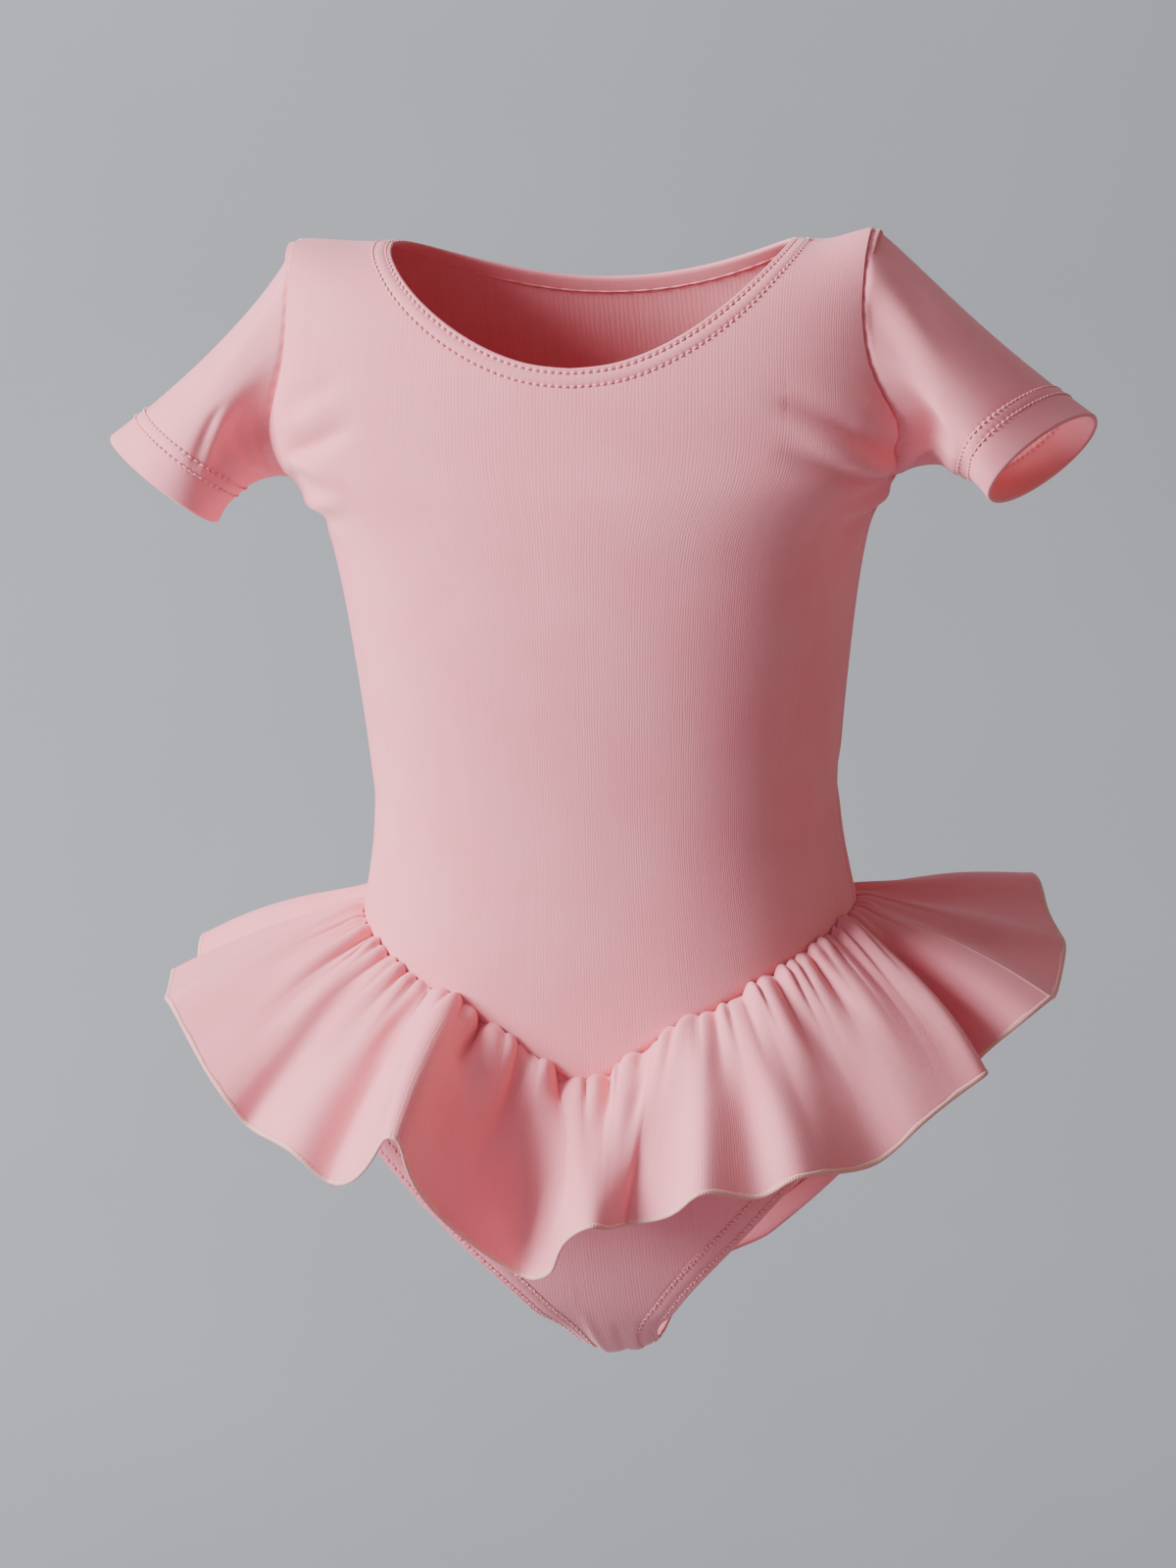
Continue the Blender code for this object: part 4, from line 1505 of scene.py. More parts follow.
@dataclass
class LegEdge(TurnedEdge):
    """The turned edge round one leg opening: its front, then its back."""

    hand: Hand = Hand.LEFT
    width: float = 10.0 * MM
    rows_at: Pair = (2.6, 8.6)
    kind: StitchKind = StitchKind.ZIGZAG
    row: StitchRow = StitchRow(pitch=2.1 * MM, share=0.84)
    dimple: float = 0.42
    dimple_reach: float = 0.5
    finer: int = 17
    section: tuple[Pair, ...] = (
        (10.0, -0.5), (9.95, -0.14), (9.7, -0.02), (9.3, 0.02), (8.9, 0.04), (8.5, 0.05),
        (8.1, 0.08), (7.6, 0.18), (6.9, 0.3), (5.7, 0.36), (4.5, 0.34), (3.7, 0.24),
        (3.2, 0.14), (2.8, 0.1), (2.4, 0.1), (2.0, 0.13), (1.5, 0.2), (0.9, 0.2), (0.4, 0.08),
        (0.06, -0.22), (0.0, -0.7), (0.15, -1.1), (0.7, -1.5), (3.0, -1.65), (6.0, -1.7),
        (8.5, -1.6), (9.7, -1.3), (10.02, -0.85),
    )
    flat: Pair = (0.440, 0.012)

    def stretch(self, where: Array) -> tuple[Array, Array]:
        """The grid of both runs, joined into a ring.

        Args:
            where: rows of (distance in, height), in millimetres.

        Returns:
            Points and normals, rows by columns.
        """
        joined = []
        for side in Side:
            edge, inset = (
                self.cut.leg(side, deep, self.finer) * (self.hand.value, 1)
                for deep in (0.0, self.width)
            )
            last = slice(None, -1) if side is Side.FRONT else slice(None, 0, -1)
            joined.append([grid[:, last] for grid in self.grid(side, edge, inset, where)])
        front, back = joined
        return tuple(np.concatenate(pair, axis=1) for pair in zip(front, back))

    def build(self) -> tuple[Piece, Piece]:
        """Makes the edge and its stitches."""
        word = self.hand.word
        return self.make(f"leg_edge_{word}", f"leg_band_{word}", f"leg_stitches_{word}", True)


@dataclass
class Sleeve(Cloth):
    """A short set-in sleeve with a deep turned hem, in the turn that it is worn in.

    hem holds the hem's highest and lowest points in the front view and how far forward its
    middle lies, in millimetres. The slopes are in degrees, over the shoulder and under the arm.
    Its creases lie on a chart of degrees round from the top, by way of the front, and
    hundredths of the way to the hem. bodice holds the creases of the panels that it is set in,
    rows_at and hem_rows are distances up from the hem's fold, and cuff holds the shares of the
    way through the hem, from face to face, that round its edge.
    """

    hand: Hand = Hand.LEFT
    hem: Row = (187.0, -66.2, 162.0, -98.0, 15.0)
    half_depth: float = 35.0 * MM
    turned: float = 23.0
    leave_slope: Pair = (-41.0, 42.0)
    reach_slope: Pair = (-34.0, -60.0)
    leave_pull: Pair = (70.0 * MM, 42.0 * MM)
    reach_pull: Pair = (60.0 * MM, 40.0 * MM)
    creases: tuple[Crease, ...] = ()
    hem_deep: float = 17.0 * MM
    rows_at: Pair = (12.5 * MM, 17.0 * MM)
    hem_fold: float = 0.45 * MM
    bodice: dict[Side, tuple[Crease, ...]] = field(default_factory=dict)
    row: StitchRow = StitchRow()
    finer: int = 14
    rows: int = 36
    fine_rows: int = 121
    even_share: float = 0.3
    blend: float = 4.0 * MM
    pucker: float = 0.25
    pucker_pitch: float = 7.5 * MM
    dimple: float = 0.5 * MM
    dimple_reach: float = 0.6 * MM
    fold_soft: float = 1.2 * MM
    step_soft: float = 0.8 * MM
    doubling: float = 0.95
    cuff: Row = (0.12, 0.3, 0.5, 0.7, 0.88)
    cuff_bulge: float = 0.5
    top_bulge: float = 0.3 * MM
    thread_high: float = 0.34 * MM
    hem_rows: Row = (
        0.0, 0.3, 0.8, 1.6, 3.0, 5.0, 7.0, 9.0, 10.6, 11.5, 12.1, 12.5, 12.9, 13.5, 14.7, 16.0,
        16.6, 17.0, 17.4, 18.0, 18.8,
    )
    flat: Pair = (0.200, 0.095)
    area: float = 0.0140

    def loop(self, count: int) -> tuple[Array, Array, Array]:
        """The seam round the armhole.

        Args:
            count: how many steps there are on each side.

        Returns:
            Points, ways out and normals.
        """
        runs = []
        for side in Side:
            path = self.cut.armhole(side, self.hand, count)
            place = self.figure.point(side, path[:, 0], path[:, 1])
            normal = self.figure.normal(side, path[:, 0], path[:, 1])
            creases = self.bodice.get(side, ())
            lift = all_lifts(creases, place[:, 0] / MM, place[:, 2] / MM)
            place = place + normal * lift[:, None]
            way = np.gradient(place, axis=0)
            out = unit(np.cross(normal, way)) * side.value * -self.hand.value
            run = np.stack((place, out, normal), axis=1)
            runs.append(run[:-1] if side is Side.FRONT else run[:0:-1])
        ring = np.concatenate(runs)
        return ring[:, 0], ring[:, 1], unit(ring[:, 2])

    def leaning(self, slopes: tuple, pulls: tuple, under: Array) -> Array:
        """Ways along the sleeve, from over the shoulder to under the arm.

        Args:
            slopes: degrees, over the shoulder and under the arm.
            pulls: lengths, in the same order.
            under: how far round each column lies, from 0 to 1.

        Returns:
            A way for each column.
        """
        over_slope, under_slope = np.radians(slopes)
        slope = over_slope * (1 - under) + under_slope * under
        way = (self.hand.value * np.cos(slope), np.zeros_like(slope), np.sin(slope))
        return np.concatenate(way, axis=1) * (pulls[0] * (1 - under) + pulls[1] * under)

    def smooth(self, share: Array) -> tuple[Array, Array]:
        """The sleeve without creases, curved from the armhole to the hem.

        Args:
            share: the share of the way to the hem for each row.

        Returns:
            Points, and the armhole's normals.
        """
        count = self.cut.armhole_columns * self.finer
        place, out, normal = self.loop(count)
        place = place + out * self.figure.seam_gap
        top_out, top_height, low_out, low_height, forward = np.array(self.hem) * MM
        hand = self.hand.value
        top = np.array((hand * top_out, -forward, top_height))
        low = np.array((hand * low_out, -forward, low_height))
        turned = math.radians(self.turned)
        deep = np.array((math.sin(turned) * hand, math.cos(turned), 0.0)) * self.half_depth
        turns = np.linspace(0, 2 * math.pi, 2 * count, endpoint=False)[:, None]
        hem = (top + low) / 2 + (top - low) / 2 * np.cos(turns) - deep * np.sin(turns)
        under = (1 - np.cos(turns)) / 2
        leave = self.leaning(self.leave_slope, self.leave_pull, under)
        arrive = self.leaning(self.reach_slope, self.reach_pull, under)
        s = share[:, None, None]
        points = (
            (2 * s**3 - 3 * s**2 + 1) * place
            + (s**3 - 2 * s**2 + s) * leave
            + (3 * s**2 - 2 * s**3) * hem
            + (s**3 - s**2) * arrive
        )
        return points, normal

    def placed(self) -> tuple[Array, Array, Array]:
        """The smooth sleeve on rows that keep their distance from the hem.

        Returns:
            Points, the distance down to each, and the armhole's normals.
        """
        points, armhole_normal = self.smooth(np.linspace(0, 1, self.fine_rows))
        down = run_lengths(points, 0)
        near = np.array(self.hem_rows)[::-1] * MM
        even = np.linspace(0, 1, self.rows, endpoint=False)
        upper = self.even_share * even + (1 - self.even_share) * even**2
        columns = []
        for c, length in enumerate(down[-1]):
            wanted = np.concatenate((upper * (length - near[0]), length - near))
            place = [np.interp(wanted, down[:, c], points[:, c, k]) for k in range(3)]
            columns.append(np.stack((*place, wanted), axis=1))
        grid = np.stack(columns, axis=1)
        return grid[..., :3], grid[..., 3], armhole_normal

    def build(self) -> tuple[Piece, Piece]:
        """Makes the sleeve and the two rows of stitches of its hem.

        Returns:
            The cloth and its stitches.
        """
        points, down, armhole_normal = self.placed()
        normals = grid_normals(points, ring=True) * self.hand.value
        blend = eased(down / self.blend)
        normals = normals * blend[..., None] + armhole_normal * (1 - blend[..., None])
        normals = unit(normals)
        to_hem = down[-1] - down
        around = np.linspace(0, 360, points.shape[1], endpoint=False)
        degrees, along = np.broadcast_arrays(around[None], down / down[-1] * 100)
        lift = all_lifts(self.creases, degrees, along)
        lift = lift * eased(to_hem / self.hem_deep) * blend
        seam_run = run_lengths(points[:1], 1)
        puckers = 1 + self.pucker * np.sin(2 * math.pi * seam_run / self.pucker_pitch)
        lift = lift + self.rolled(down) * puckers
        past = self.hem_deep - to_hem
        lift = lift + self.hem_fold * eased(past / self.fold_soft + 0.5)
        for at in self.rows_at:
            line = points[np.argmin(np.abs(to_hem[:, 0] - at))]
            phase = self.row.phases(np.concatenate((line, line[:1])))[:-1][None]
            off = to_hem - at
            lift = lift - needle_dimples(phase, off, 0.0, self.dimple, self.dimple_reach)
        outer = points + normals * lift[..., None]
        doubled = eased(past / self.step_soft + 0.5)
        wall = (self.wall * (1 + self.doubling * doubled))[..., None]
        inner = outer - normals * wall
        fold = unit(outer[-1] - outer[-3]) * self.cuff_bulge
        turned = [
            (outer[-1] * (1 - t) + inner[-1] * t) + fold * wall[-1] * math.sin(math.pi * t)
            for t in self.cuff
        ]
        middle = (outer[0] + inner[0]) / 2 - unit(outer[1] - outer[0]) * self.top_bulge
        loop = np.concatenate((middle[None], outer, np.array(turned), inner[::-1]))
        scale = np.linspace(0, self.flat[0], points.shape[1], endpoint=False)
        mean = down.mean(axis=1)
        run = np.concatenate(([0], mean, np.full(len(turned), mean[-1]), mean[::-1]))
        places = np.stack(np.broadcast_arrays(scale[None], -run[:, None]), axis=-1)
        word = self.hand.word
        sweep = ClosedSweep(f"sleeve_{word}_cloth", loop, places, True, self.flat[0])
        piece = sweep.build(self.wardrobe.jersey, self.wardrobe.back)
        dressed(piece, "jersey", f"sleeve_{word}")
        raised = points + normals * (lift + self.thread_high)[..., None]
        runs = []
        for at in self.rows_at:
            row = np.argmin(np.abs(to_hem[:, 0] - at))
            runs.append((raised[row], raised[row], normals[row], True))
        stitches = self.row.build(f"sleeve_stitches_{word}", runs, self.wardrobe.thread)
        dressed(stitches, "jersey")
        return piece, stitches


@dataclass
class Skirt(Cloth):
    """The front or back of the skirt, gathered at the waist seam, with an overlocked hem.

    hem has a row for each crest, hollow and turn of the folds: the place on the waist seam
    that it hangs from, then the distance out, the distance back and the height in millimetres.
    Its creases lie on a chart of hundredths across and millimetres down. The ranges are those
    that each gather's width, depth, length and lean are drawn from. The ends are how near to
    the side seams the folds, the gathers and the creases die out.
    """

    side: Side = Side.FRONT
    hem: tuple[tuple[float, float, float, float], ...] = ()
    creases: tuple[Crease, ...] = ()
    gathers: int = 46
    seed: int = 4
    gather_depth: float = 3.1 * MM
    gather_round: float = 0.75
    step_range: Pair = (0.62, 1.38)
    depth_range: Pair = (0.45, 1.15)
    fade_range: Pair = (0.08, 0.28)
    fade_power: float = 1.6
    lean_range: Pair = (-0.7, 0.7)
    long_range: Pair = (0.0, 0.14)
    long_reach: float = 0.75
    start_share: float = 0.35
    start_run: float = 0.05
    head_at: float = 0.012
    head_reach: float = 0.035
    head_high: float = 0.75
    fold_end: float = 0.08
    gather_end: float = 0.015
    crease_end: float = 0.04
    hem_places: int = 1601
    soft_half: int = 240
    soft_reach: float = 110.0
    even_share: float = 0.35
    spread: float = 1.9
    smooth_share: float = 0.15
    rise: float = 0.36
    body: float = 0.52
    stand_off: float = 0.5 * MM
    fold_run: float = 1.35
    length: float = 86 * MM
    columns_each: int = 8
    rows: int = 52
    flat: Pair = (0.62, 0.09)
    area: float = 0.0435

    def __post_init__(self) -> None:
        """Draws the uneven gathers and the folds that run up from the hem."""
        chance = np.random.default_rng(self.seed)
        steps = chance.uniform(*self.step_range, self.gathers)
        edges = np.concatenate(([0], np.cumsum(steps)))
        self.edges = edges / edges[-1] * 2 - 1
        self.depths = chance.uniform(*self.depth_range, self.gathers) * np.sqrt(steps)
        self.fades = chance.uniform(*self.fade_range, self.gathers)
        self.leans = chance.uniform(*self.lean_range, self.gathers)
        self.long = chance.uniform(*self.long_range, self.gathers) ** 1.5
        table = np.array(self.hem)
        fine = np.linspace(-1, 1, self.hem_places)
        row = np.interp(fine, table[:, 0], np.arange(len(table)))
        line = Spline(table[:, 1:] * MM)(row)
        half = self.soft_half
        weights = bell(np.arange(-half, half + 1), self.soft_reach)
        before, after = line[half:0:-1], line[-2 : -half - 2 : -1]
        padded = np.concatenate((line[0] * 2 - before, line, line[-1] * 2 - after))
        soft = np.stack(
            [np.convolve(padded[:, k], weights / weights.sum(), "valid") for k in range(3)], axis=1
        )
        self.fine, self.line, self.soft = fine, line, soft

    def smooth(self, across: Array, down: Array) -> Array:
        """The skirt before its gathers.

        Args:
            across: place on the waist seam, from -1 to 1.
            down: from 0 at the seam to 1 at the hem.

        Returns:
            One point for each place.
        """
        across, down = np.broadcast_arrays(np.clip(across, -1, 1), np.asarray(down, float))
        level = self.cut.seam_level(self.side, across)
        normal = self.figure.normal(self.side, across, level)
        start = self.figure.point(self.side, across, level) + normal * self.stand_off
        hem, soft = (
            np.stack([np.interp(across, self.fine, line[:, k]) for k in range(3)], axis=-1)
            for line in (self.line, self.soft)
        )
        gap = (0, self.side.value * self.figure.seam_gap / 2, 0)
        hem, soft = hem + gap, soft + gap
        reach = hem - start
        way = unit(unit(reach) + normal * self.rise)
        turn = start + way * np.linalg.norm(reach, axis=-1, keepdims=True) * self.body
        down = down[..., None]
        points = start * (1 - down) ** 2 + turn * 2 * down * (1 - down) + hem * down**2
        more = np.maximum(down, 1e-6) ** self.fold_run - down**2
        ends = eased((1 - np.abs(across)) / self.fold_end)[..., None]
        return points + (hem - soft) * more * ends

    def gathered(self, across: Array, down: Array) -> tuple[Array, ...]:
        """The gathers' lift off the smooth skirt, how far they lean over and their heads' rise.

        Args:
            across: place on the waist seam.
            down: from 0 to 1.

        Returns:
            Lift, lean and rise in metres.
        """
        k = np.clip(np.searchsorted(self.edges, across, side="right") - 1, 0, self.gathers - 1)
        phase = (across - self.edges[k]) / (self.edges[k + 1] - self.edges[k])
        ridge = np.abs(np.sin(math.pi * np.clip(phase, 0, 1))) ** self.gather_round
        fade = np.exp(-((down / self.fades[k]) ** self.fade_power))
        fade = fade + self.long[k] * bell(down, self.long_reach)
        grow = self.start_share + (1 - self.start_share) * eased(down / self.start_run)
        ends = eased((1 - np.abs(across)) / self.gather_end)
        depth = self.gather_depth * self.depths[k] * ends
        head = bell(down - self.head_at, self.head_reach) * ridge * depth * self.head_high
        lift = depth * grow * fade * ridge
        return lift, lift * self.leans[k], head

    def grid(self) -> tuple[Array, Array, Array]:
        """The cloth's outer face.

        Returns:
            Points, normals and places on the flat cloth.
        """
        phases = np.linspace(0, 1, self.columns_each, endpoint=False)
        across = (self.edges[:-1, None] + np.diff(self.edges)[:, None] * phases).ravel()
        across = np.append(across, 1.0)[None]
        even = np.linspace(0, 1, self.rows + 1)
        down = (self.even_share * even + (1 - self.even_share) * even**self.spread)[:, None]
        points = self.smooth(across, down)
        normals = grid_normals(points) * self.side.value
        for end, way in ((0, self.side.value), (-1, -self.side.value)):
            slope = np.gradient(points[:, end], axis=0)
            normals[:, end] = unit(np.cross((0, way, 0), slope)) * self.side.value
        lift, lean, head = self.gathered(across, down)
        wide, deep = (np.broadcast_to(chart, lift.shape) for chart in (across, down))
        crease = all_lifts(self.creases, wide * 100, deep * self.length / MM)
        crease = crease * eased((1 - np.abs(wide)) / self.crease_end)
        fall, along = unit(np.gradient(points, axis=0)), unit(np.gradient(points, axis=1))
        outer = points + normals * (self.wall + lift + crease)[..., None]
        outer = outer + along * lean[..., None] - fall * head[..., None]
        fine = grid_normals(outer) * self.side.value
        normals = unit(fine * (1 - self.smooth_share) + normals * self.smooth_share)
        places = np.stack((self.flat[0] / 2 * wide, -deep * self.length), axis=-1)
        return outer, normals, places

    def build(self) -> tuple[Piece, Piece]:
        """Makes the cloth and the overlock along its hem.

        Returns:
            Both pieces.
        """
        outer, normals, places = self.grid()
        word = self.side.word
        inner = outer - normals * self.wall
        sweep = ClosedSweep.of_wall(f"skirt_{word}_cloth", outer, inner, places)
        piece = sweep.build(self.wardrobe.jersey, self.wardrobe.back)
        dressed(piece, "jersey", f"skirt_{word}")
        binding = Overlock(name=f"skirt_overlock_{word}").build(
            outer[-1], normals[-1], outer[-1] - outer[-3], self.wall, self.wardrobe.overlock
        )
        dressed(binding, "jersey")
        return piece, binding


@dataclass(frozen=True)
class Overlock:
    """Thread wound close round a raw edge: a rib for each loop of the needle.

    section holds the winding's cross-section: how far in from the edge and how high, as shares
    of deep and of the cloth with its thread. waves make the winding a little uneven: how much,
    how long and where they start.
    """

    name: str
    pitch: float = 1.15 * MM
    deep: float = 1.9 * MM
    thread: float = 0.30 * MM
    steps_each: int = 4
    rib_round: float = 0.7
    rib_least: float = 0.05
    bulge: float = 3.2
    waves: tuple[Row, ...] = ((0.10, 3.7 * MM, 0.0), (0.06, 1.9 * MM, 1.0))
    section: tuple[Pair, ...] = (
        (1.0, 0.02), (0.96, 0.75), (0.55, 1.0), (0.1, 0.9), (-0.12, 0.5), (-0.2, 0.0),
        (-0.12, -0.5), (0.1, -0.9), (0.55, -1.0), (0.96, -0.75),
    )

    def build(
        self, line: Array, normals: Array, out: Array, wall: float, material: Material
    ) -> Piece:
        """Winds the thread.

        Args:
            line: points along the cloth's outer face at the edge.
            normals: the cloth's normals there.
            out: ways out of the edge.
            wall: the cloth's thickness.
            material: the thread's material.

        Returns:
            The new object.
        """
        length = run_lengths(line, 0)
        count = round(length[-1] / self.pitch) * self.steps_each
        at = np.linspace(0, length[-1], count + 1)

        def read(values: Array) -> Array:
            """Values along the line, read at the winding's steps."""
            return np.stack([np.interp(at, length, values[:, k]) for k in range(3)], axis=1)

        middle = read(line - normals * wall / 2)
        normal, outward = unit(read(normals)), unit(read(out))
        outward = unit(outward - normal * (outward * normal).sum(axis=1, keepdims=True))
        rib = np.abs(np.sin(math.pi * at / self.pitch)) ** self.rib_round
        uneven = sum((high * np.sin(at / long + start) for high, long, start in self.waves), 1)
        grow = self.thread * (self.rib_least + (1 - self.rib_least) * rib)
        half = wall / 2 + grow
        rows = []
        for deep, high in self.section:
            aside = -deep * self.deep * uneven if deep > 0 else -deep * self.bulge * grow
            rows.append(middle + outward * aside[:, None] + normal * (high * half)[:, None])
        points = np.array(rows)
        places = np.zeros((*points.shape[:2], 2))
        places[..., 0] = at
        return ClosedSweep(self.name, points, places).build(material)


@dataclass
class SeamTape(Cloth):
    """The overlocked seam allowance that lies behind a seam.

    top is how far behind the outer face it lies, and section holds its cross-section as shares
    of half_width and thick.
    """

    half_width: float = 3.0 * MM
    top: float = 1.35 * MM
    thick: float = 0.9 * MM
    rib: float = 0.12 * MM
    section: tuple[Pair, ...] = (
        (-1.0, 0.3), (-0.8, 0.0), (0.8, 0.0), (1.0, 0.3), (1.0, 0.7), (0.8, 1.0), (-0.8, 1.0),
        (-1.0, 0.7),
    )
    armhole_columns: int = 120
    waist_columns: int = 260
    side_run: Pair = (-97 * MM, -331 * MM)
    side_columns: int = 240
    shoulder_run: Pair = (79 * MM, 110 * MM)
    shoulder_columns: int = 60
    bodice: dict[Side, tuple[Crease, ...]] = field(default_factory=dict)

    def build(self, name: str, path: Array, normals: Array, ring: bool) -> Piece:
        """Lays the tape behind a seam.

        Args:
            name: the piece's name.
            path: points of the seam on the outer face.
            normals: outward normals there.
            ring: the seam closes on itself.

        Returns:
            The new object.
        """
        if ring:
            way = np.roll(path, -1, axis=0) - np.roll(path, 1, axis=0)
        else:
            way = np.gradient(path, axis=0)
        aside = unit(np.cross(unit(way), normals))
        rib = self.rib * np.sin(np.arange(len(path)) * math.pi / 2)[:, None]
        points = np.array([
            path + aside * self.half_width * wide - normals * (self.top + self.thick * deep + rib)
            for wide, deep in self.section
        ])
        places = np.zeros((*points.shape[:2], 2))
        places[..., 0] = run_lengths(path[None], 1)[0]
        sweep = ClosedSweep(name, points, places, ring, float(places[..., 0].max()))
        return dressed(sweep.build(self.wardrobe.back), "jersey")

    def armhole(self, hand: Hand) -> Piece:
        """Makes the tape round one armhole.

        Args:
            hand: the wearer's left or right.

        Returns:
            The new object.
        """
        sleeve = Sleeve(self.cut, self.wardrobe, hand=hand, bodice=self.bodice)
        place, _, normal = sleeve.loop(self.armhole_columns)
        return self.build(f"armhole_allowance_{hand.word}", place, normal, True)

    def waist(self) -> Piece:
        """Makes the tape round the waist seam.

        Returns:
            The new object.
        """
        runs, faces = [], []
        for side in Side:
            turn = np.linspace(-1, 1, self.waist_columns)[:-1] * -side.value
            level = self.cut.seam_level(side, turn)
            runs.append(self.figure.point(side, turn, level))
            faces.append(self.figure.normal(side, turn, level))
        path, normals = np.concatenate(runs), unit(np.concatenate(faces))
        return self.build("waist_allowance", path, normals, True)

    def side_seam(self, hand: Hand) -> Piece:
        """Makes the tape down one side seam, from the underarm to the leg.

        Args:
            hand: the wearer's left or right.

        Returns:
            The new object.
        """
        height = np.linspace(*self.side_run, self.side_columns)
        level = self.figure.level_at(height)
        point = self.figure.point(Side.FRONT, np.full(len(level), float(hand.value)), level)
        point[:, 1] = 0
        normal = np.tile((float(hand.value), 0.0, 0.0), (len(level), 1))
        return self.build(f"side_allowance_{hand.word}", point, normal, False)

    def shoulder(self, hand: Hand) -> Piece:
        """Makes the tape along one shoulder seam.

        Args:
            hand: the wearer's left or right.

        Returns:
            The new object.
        """
        out = np.linspace(*self.shoulder_run, self.shoulder_columns)
        level = np.zeros(len(out))
        turn = self.figure.turn_at(out * hand.value, level)
        point = self.figure.point(Side.FRONT, turn, level)
        point[:, 1] = 0
        normal = np.tile((0.0, 0.0, 1.0), (len(out), 1))
        return self.build(f"shoulder_allowance_{hand.word}", point, normal, False)


# Folds placed one by one

BODICE_FRONT_CREASES = creased(
    (-110, -56, -84, -42, 4.2, -1.5), (-111, -64, -86, -52, 4.2, 1.5), (-110, -75, -80, -60, 3.3, -3.2),
    (-110, -79, -86, -89, 3.5, 2.2, -1.5), (-113, -87, -92, -94, 4.2, -2.6),
    (-110, -98, -86, -91, 3.6, 2), (-108, -106, -84, -98, 3.6, -1.3), (118, -63, 78, -45, 5, 1),
    (118, -75, 70, -48, 3.8, -2.6, 1.2), (112, -80, 76, -58, 4, 1.8, 1),
    (113, -84, 82, -67, 2.8, 1.6), (115, -89, 74, -71, 3.6, -2.5, 1), (118, -94, 99, -93, 2.6, -1.2),
    (113, -99, 96, -99, 2.6, 1.2), (109, -105, 95, -106, 2.4, -1),
    (-92, -214, -52, -219, 6.5, -0.5, 2), (92, -222, 58, -226, 6, -0.5, -2),
    (-103, -286, -70, -275, 7, -0.45), (104, -282, 74, -273, 6, 0.4),
)
BODICE_BACK_CREASES = creased(
    (-120, -72, -78, -58, 7, 1.5), (-121, -84, -82, -72, 6, -1.7), (119, -70, 76, -62, 6.5, -1.6),
    (120, -82, 84, -76, 6, 1.5), (118, -94, 88, -92, 5, -1.1),
    (-88, -196, 30, -202, 9, -1.2, 3), (86, -212, -26, -218, 8, -1.3, 3),
    (-84, -228, 12, -232, 7, 0.9, -2), (70, -186, 10, -190, 7, 0.7),
    (-60, -250, 34, -252, 10, -0.7, -3),
)
BRIEF_FRONT_CREASES = creased(
    (-4, -445, -9, -412, 2.2, 0.8), (3, -446, 5, -420, 2, -0.9), (8, -443, 13, -418, 2, 0.6),
    (-9, -443, -16, -420, 2.2, -0.7), (-40, -394, -10, -382, 5, 0.5), (42, -392, 14, -384, 5, -0.5),
)
BRIEF_BACK_CREASES = creased(
    (-5, -445, -8, -414, 2.4, 0.7), (4, -446, 7, -418, 2.2, -0.8), (-66, -402, -30, -384, 7, 0.8),
    (70, -396, 34, -380, 7, -0.9), (52, -414, 24, -396, 6, 0.7), (-48, -418, -20, -402, 6, -0.7),
)
SLEEVE_LEFT_CREASES = creased(
    (154, 32, 74, 20, 12, -4.6), (160, 58, 72, 47, 10, 1.6, 3), (60, 6, 84, 50, 13, -1.4, 4),
    (150, 62, 96, 80, 8, -1), (38, 8, 58, 54, 11, 0.9), (12, 6, 24, 44, 12, -0.8),
    (232, 4, 244, 66, 14, -2.4, 3), (268, 4, 270, 72, 13, 1.8), (304, 6, 294, 54, 12, -1.6),
    (338, 8, 326, 46, 11, 0.9),
)
SLEEVE_RIGHT_CREASES = creased(
    (82, 50, 104, 84, 8, -1.2, 2), (96, 48, 114, 84, 8, 0.9, 2), (148, 30, 88, 26, 8, -1.6),
    (138, 30, 142, 98, 21, 3), (34, 12, 60, 60, 12, 0.7), (14, 6, 30, 56, 12, -0.7),
    (226, 6, 236, 70, 14, -2, -4), (262, 4, 258, 66, 12, 1.9), (298, 8, 286, 58, 13, -1.7),
    (334, 8, 320, 50, 11, 1),
)
SKIRT_FRONT_CREASES = creased(
    (-93, 6, -90, 70, 5, -1.3), (-86, 2, -86, 46, 2.4, 1.1), (-80, 4, -79, 62, 3, -1.4),
    (-74, 2, -72, 50, 2.6, 1.3), (-68, 3, -66, 76, 3.4, -1.6, 1), (-61, 2, -58, 66, 3.4, 1.3),
    (-55, 3, -54, 60, 2.6, -1.7), (-50, 2, -49, 62, 2.4, 1.2), (-45, 2, -45, 66, 2.4, -2),
    (-39.5, 2, -40, 48, 1.9, -2.3), (-31, 2, -30, 110, 4.6, 3.4), (-23, 3, -24.5, 36, 1.7, -4),
    (-17, 2, -20, 34, 2.7, 2.3), (-12, 4, -21, 74, 1.9, -3.4, 0.8), (-9, 1, -10, 24, 1.6, 2.2),
    (-7.4, 3, -12, 64, 2, 1.6), (-4.6, 3, -5.4, 84, 1.5, -4), (0, 2, -1.5, 64, 2.8, 1.7),
    (5.5, 3, 4.5, 40, 1.7, -2.3), (9, 2, 10, 56, 2.6, 2), (13.5, 3, 14, 46, 1.7, -2),
    (22, 2, 19, 78, 4.2, 2), (29.5, 3, 29, 52, 2, -1.7), (36, 4, 40, 84, 3, -2, 1),
    (41, 2, 47, 56, 2.6, 1.1), (46.5, 3, 52, 60, 2.2, -1.5), (53, 2, 58, 50, 2.6, 1.1),
    (59, 3, 64, 46, 2, -1.5), (65, 2, 69, 76, 3.4, 1.5), (72, 4, 76, 56, 2.6, -1.3),
    (80, 2, 86, 110, 3.6, 1.8), (88, 5, 90, 90, 3, -2.4),
)
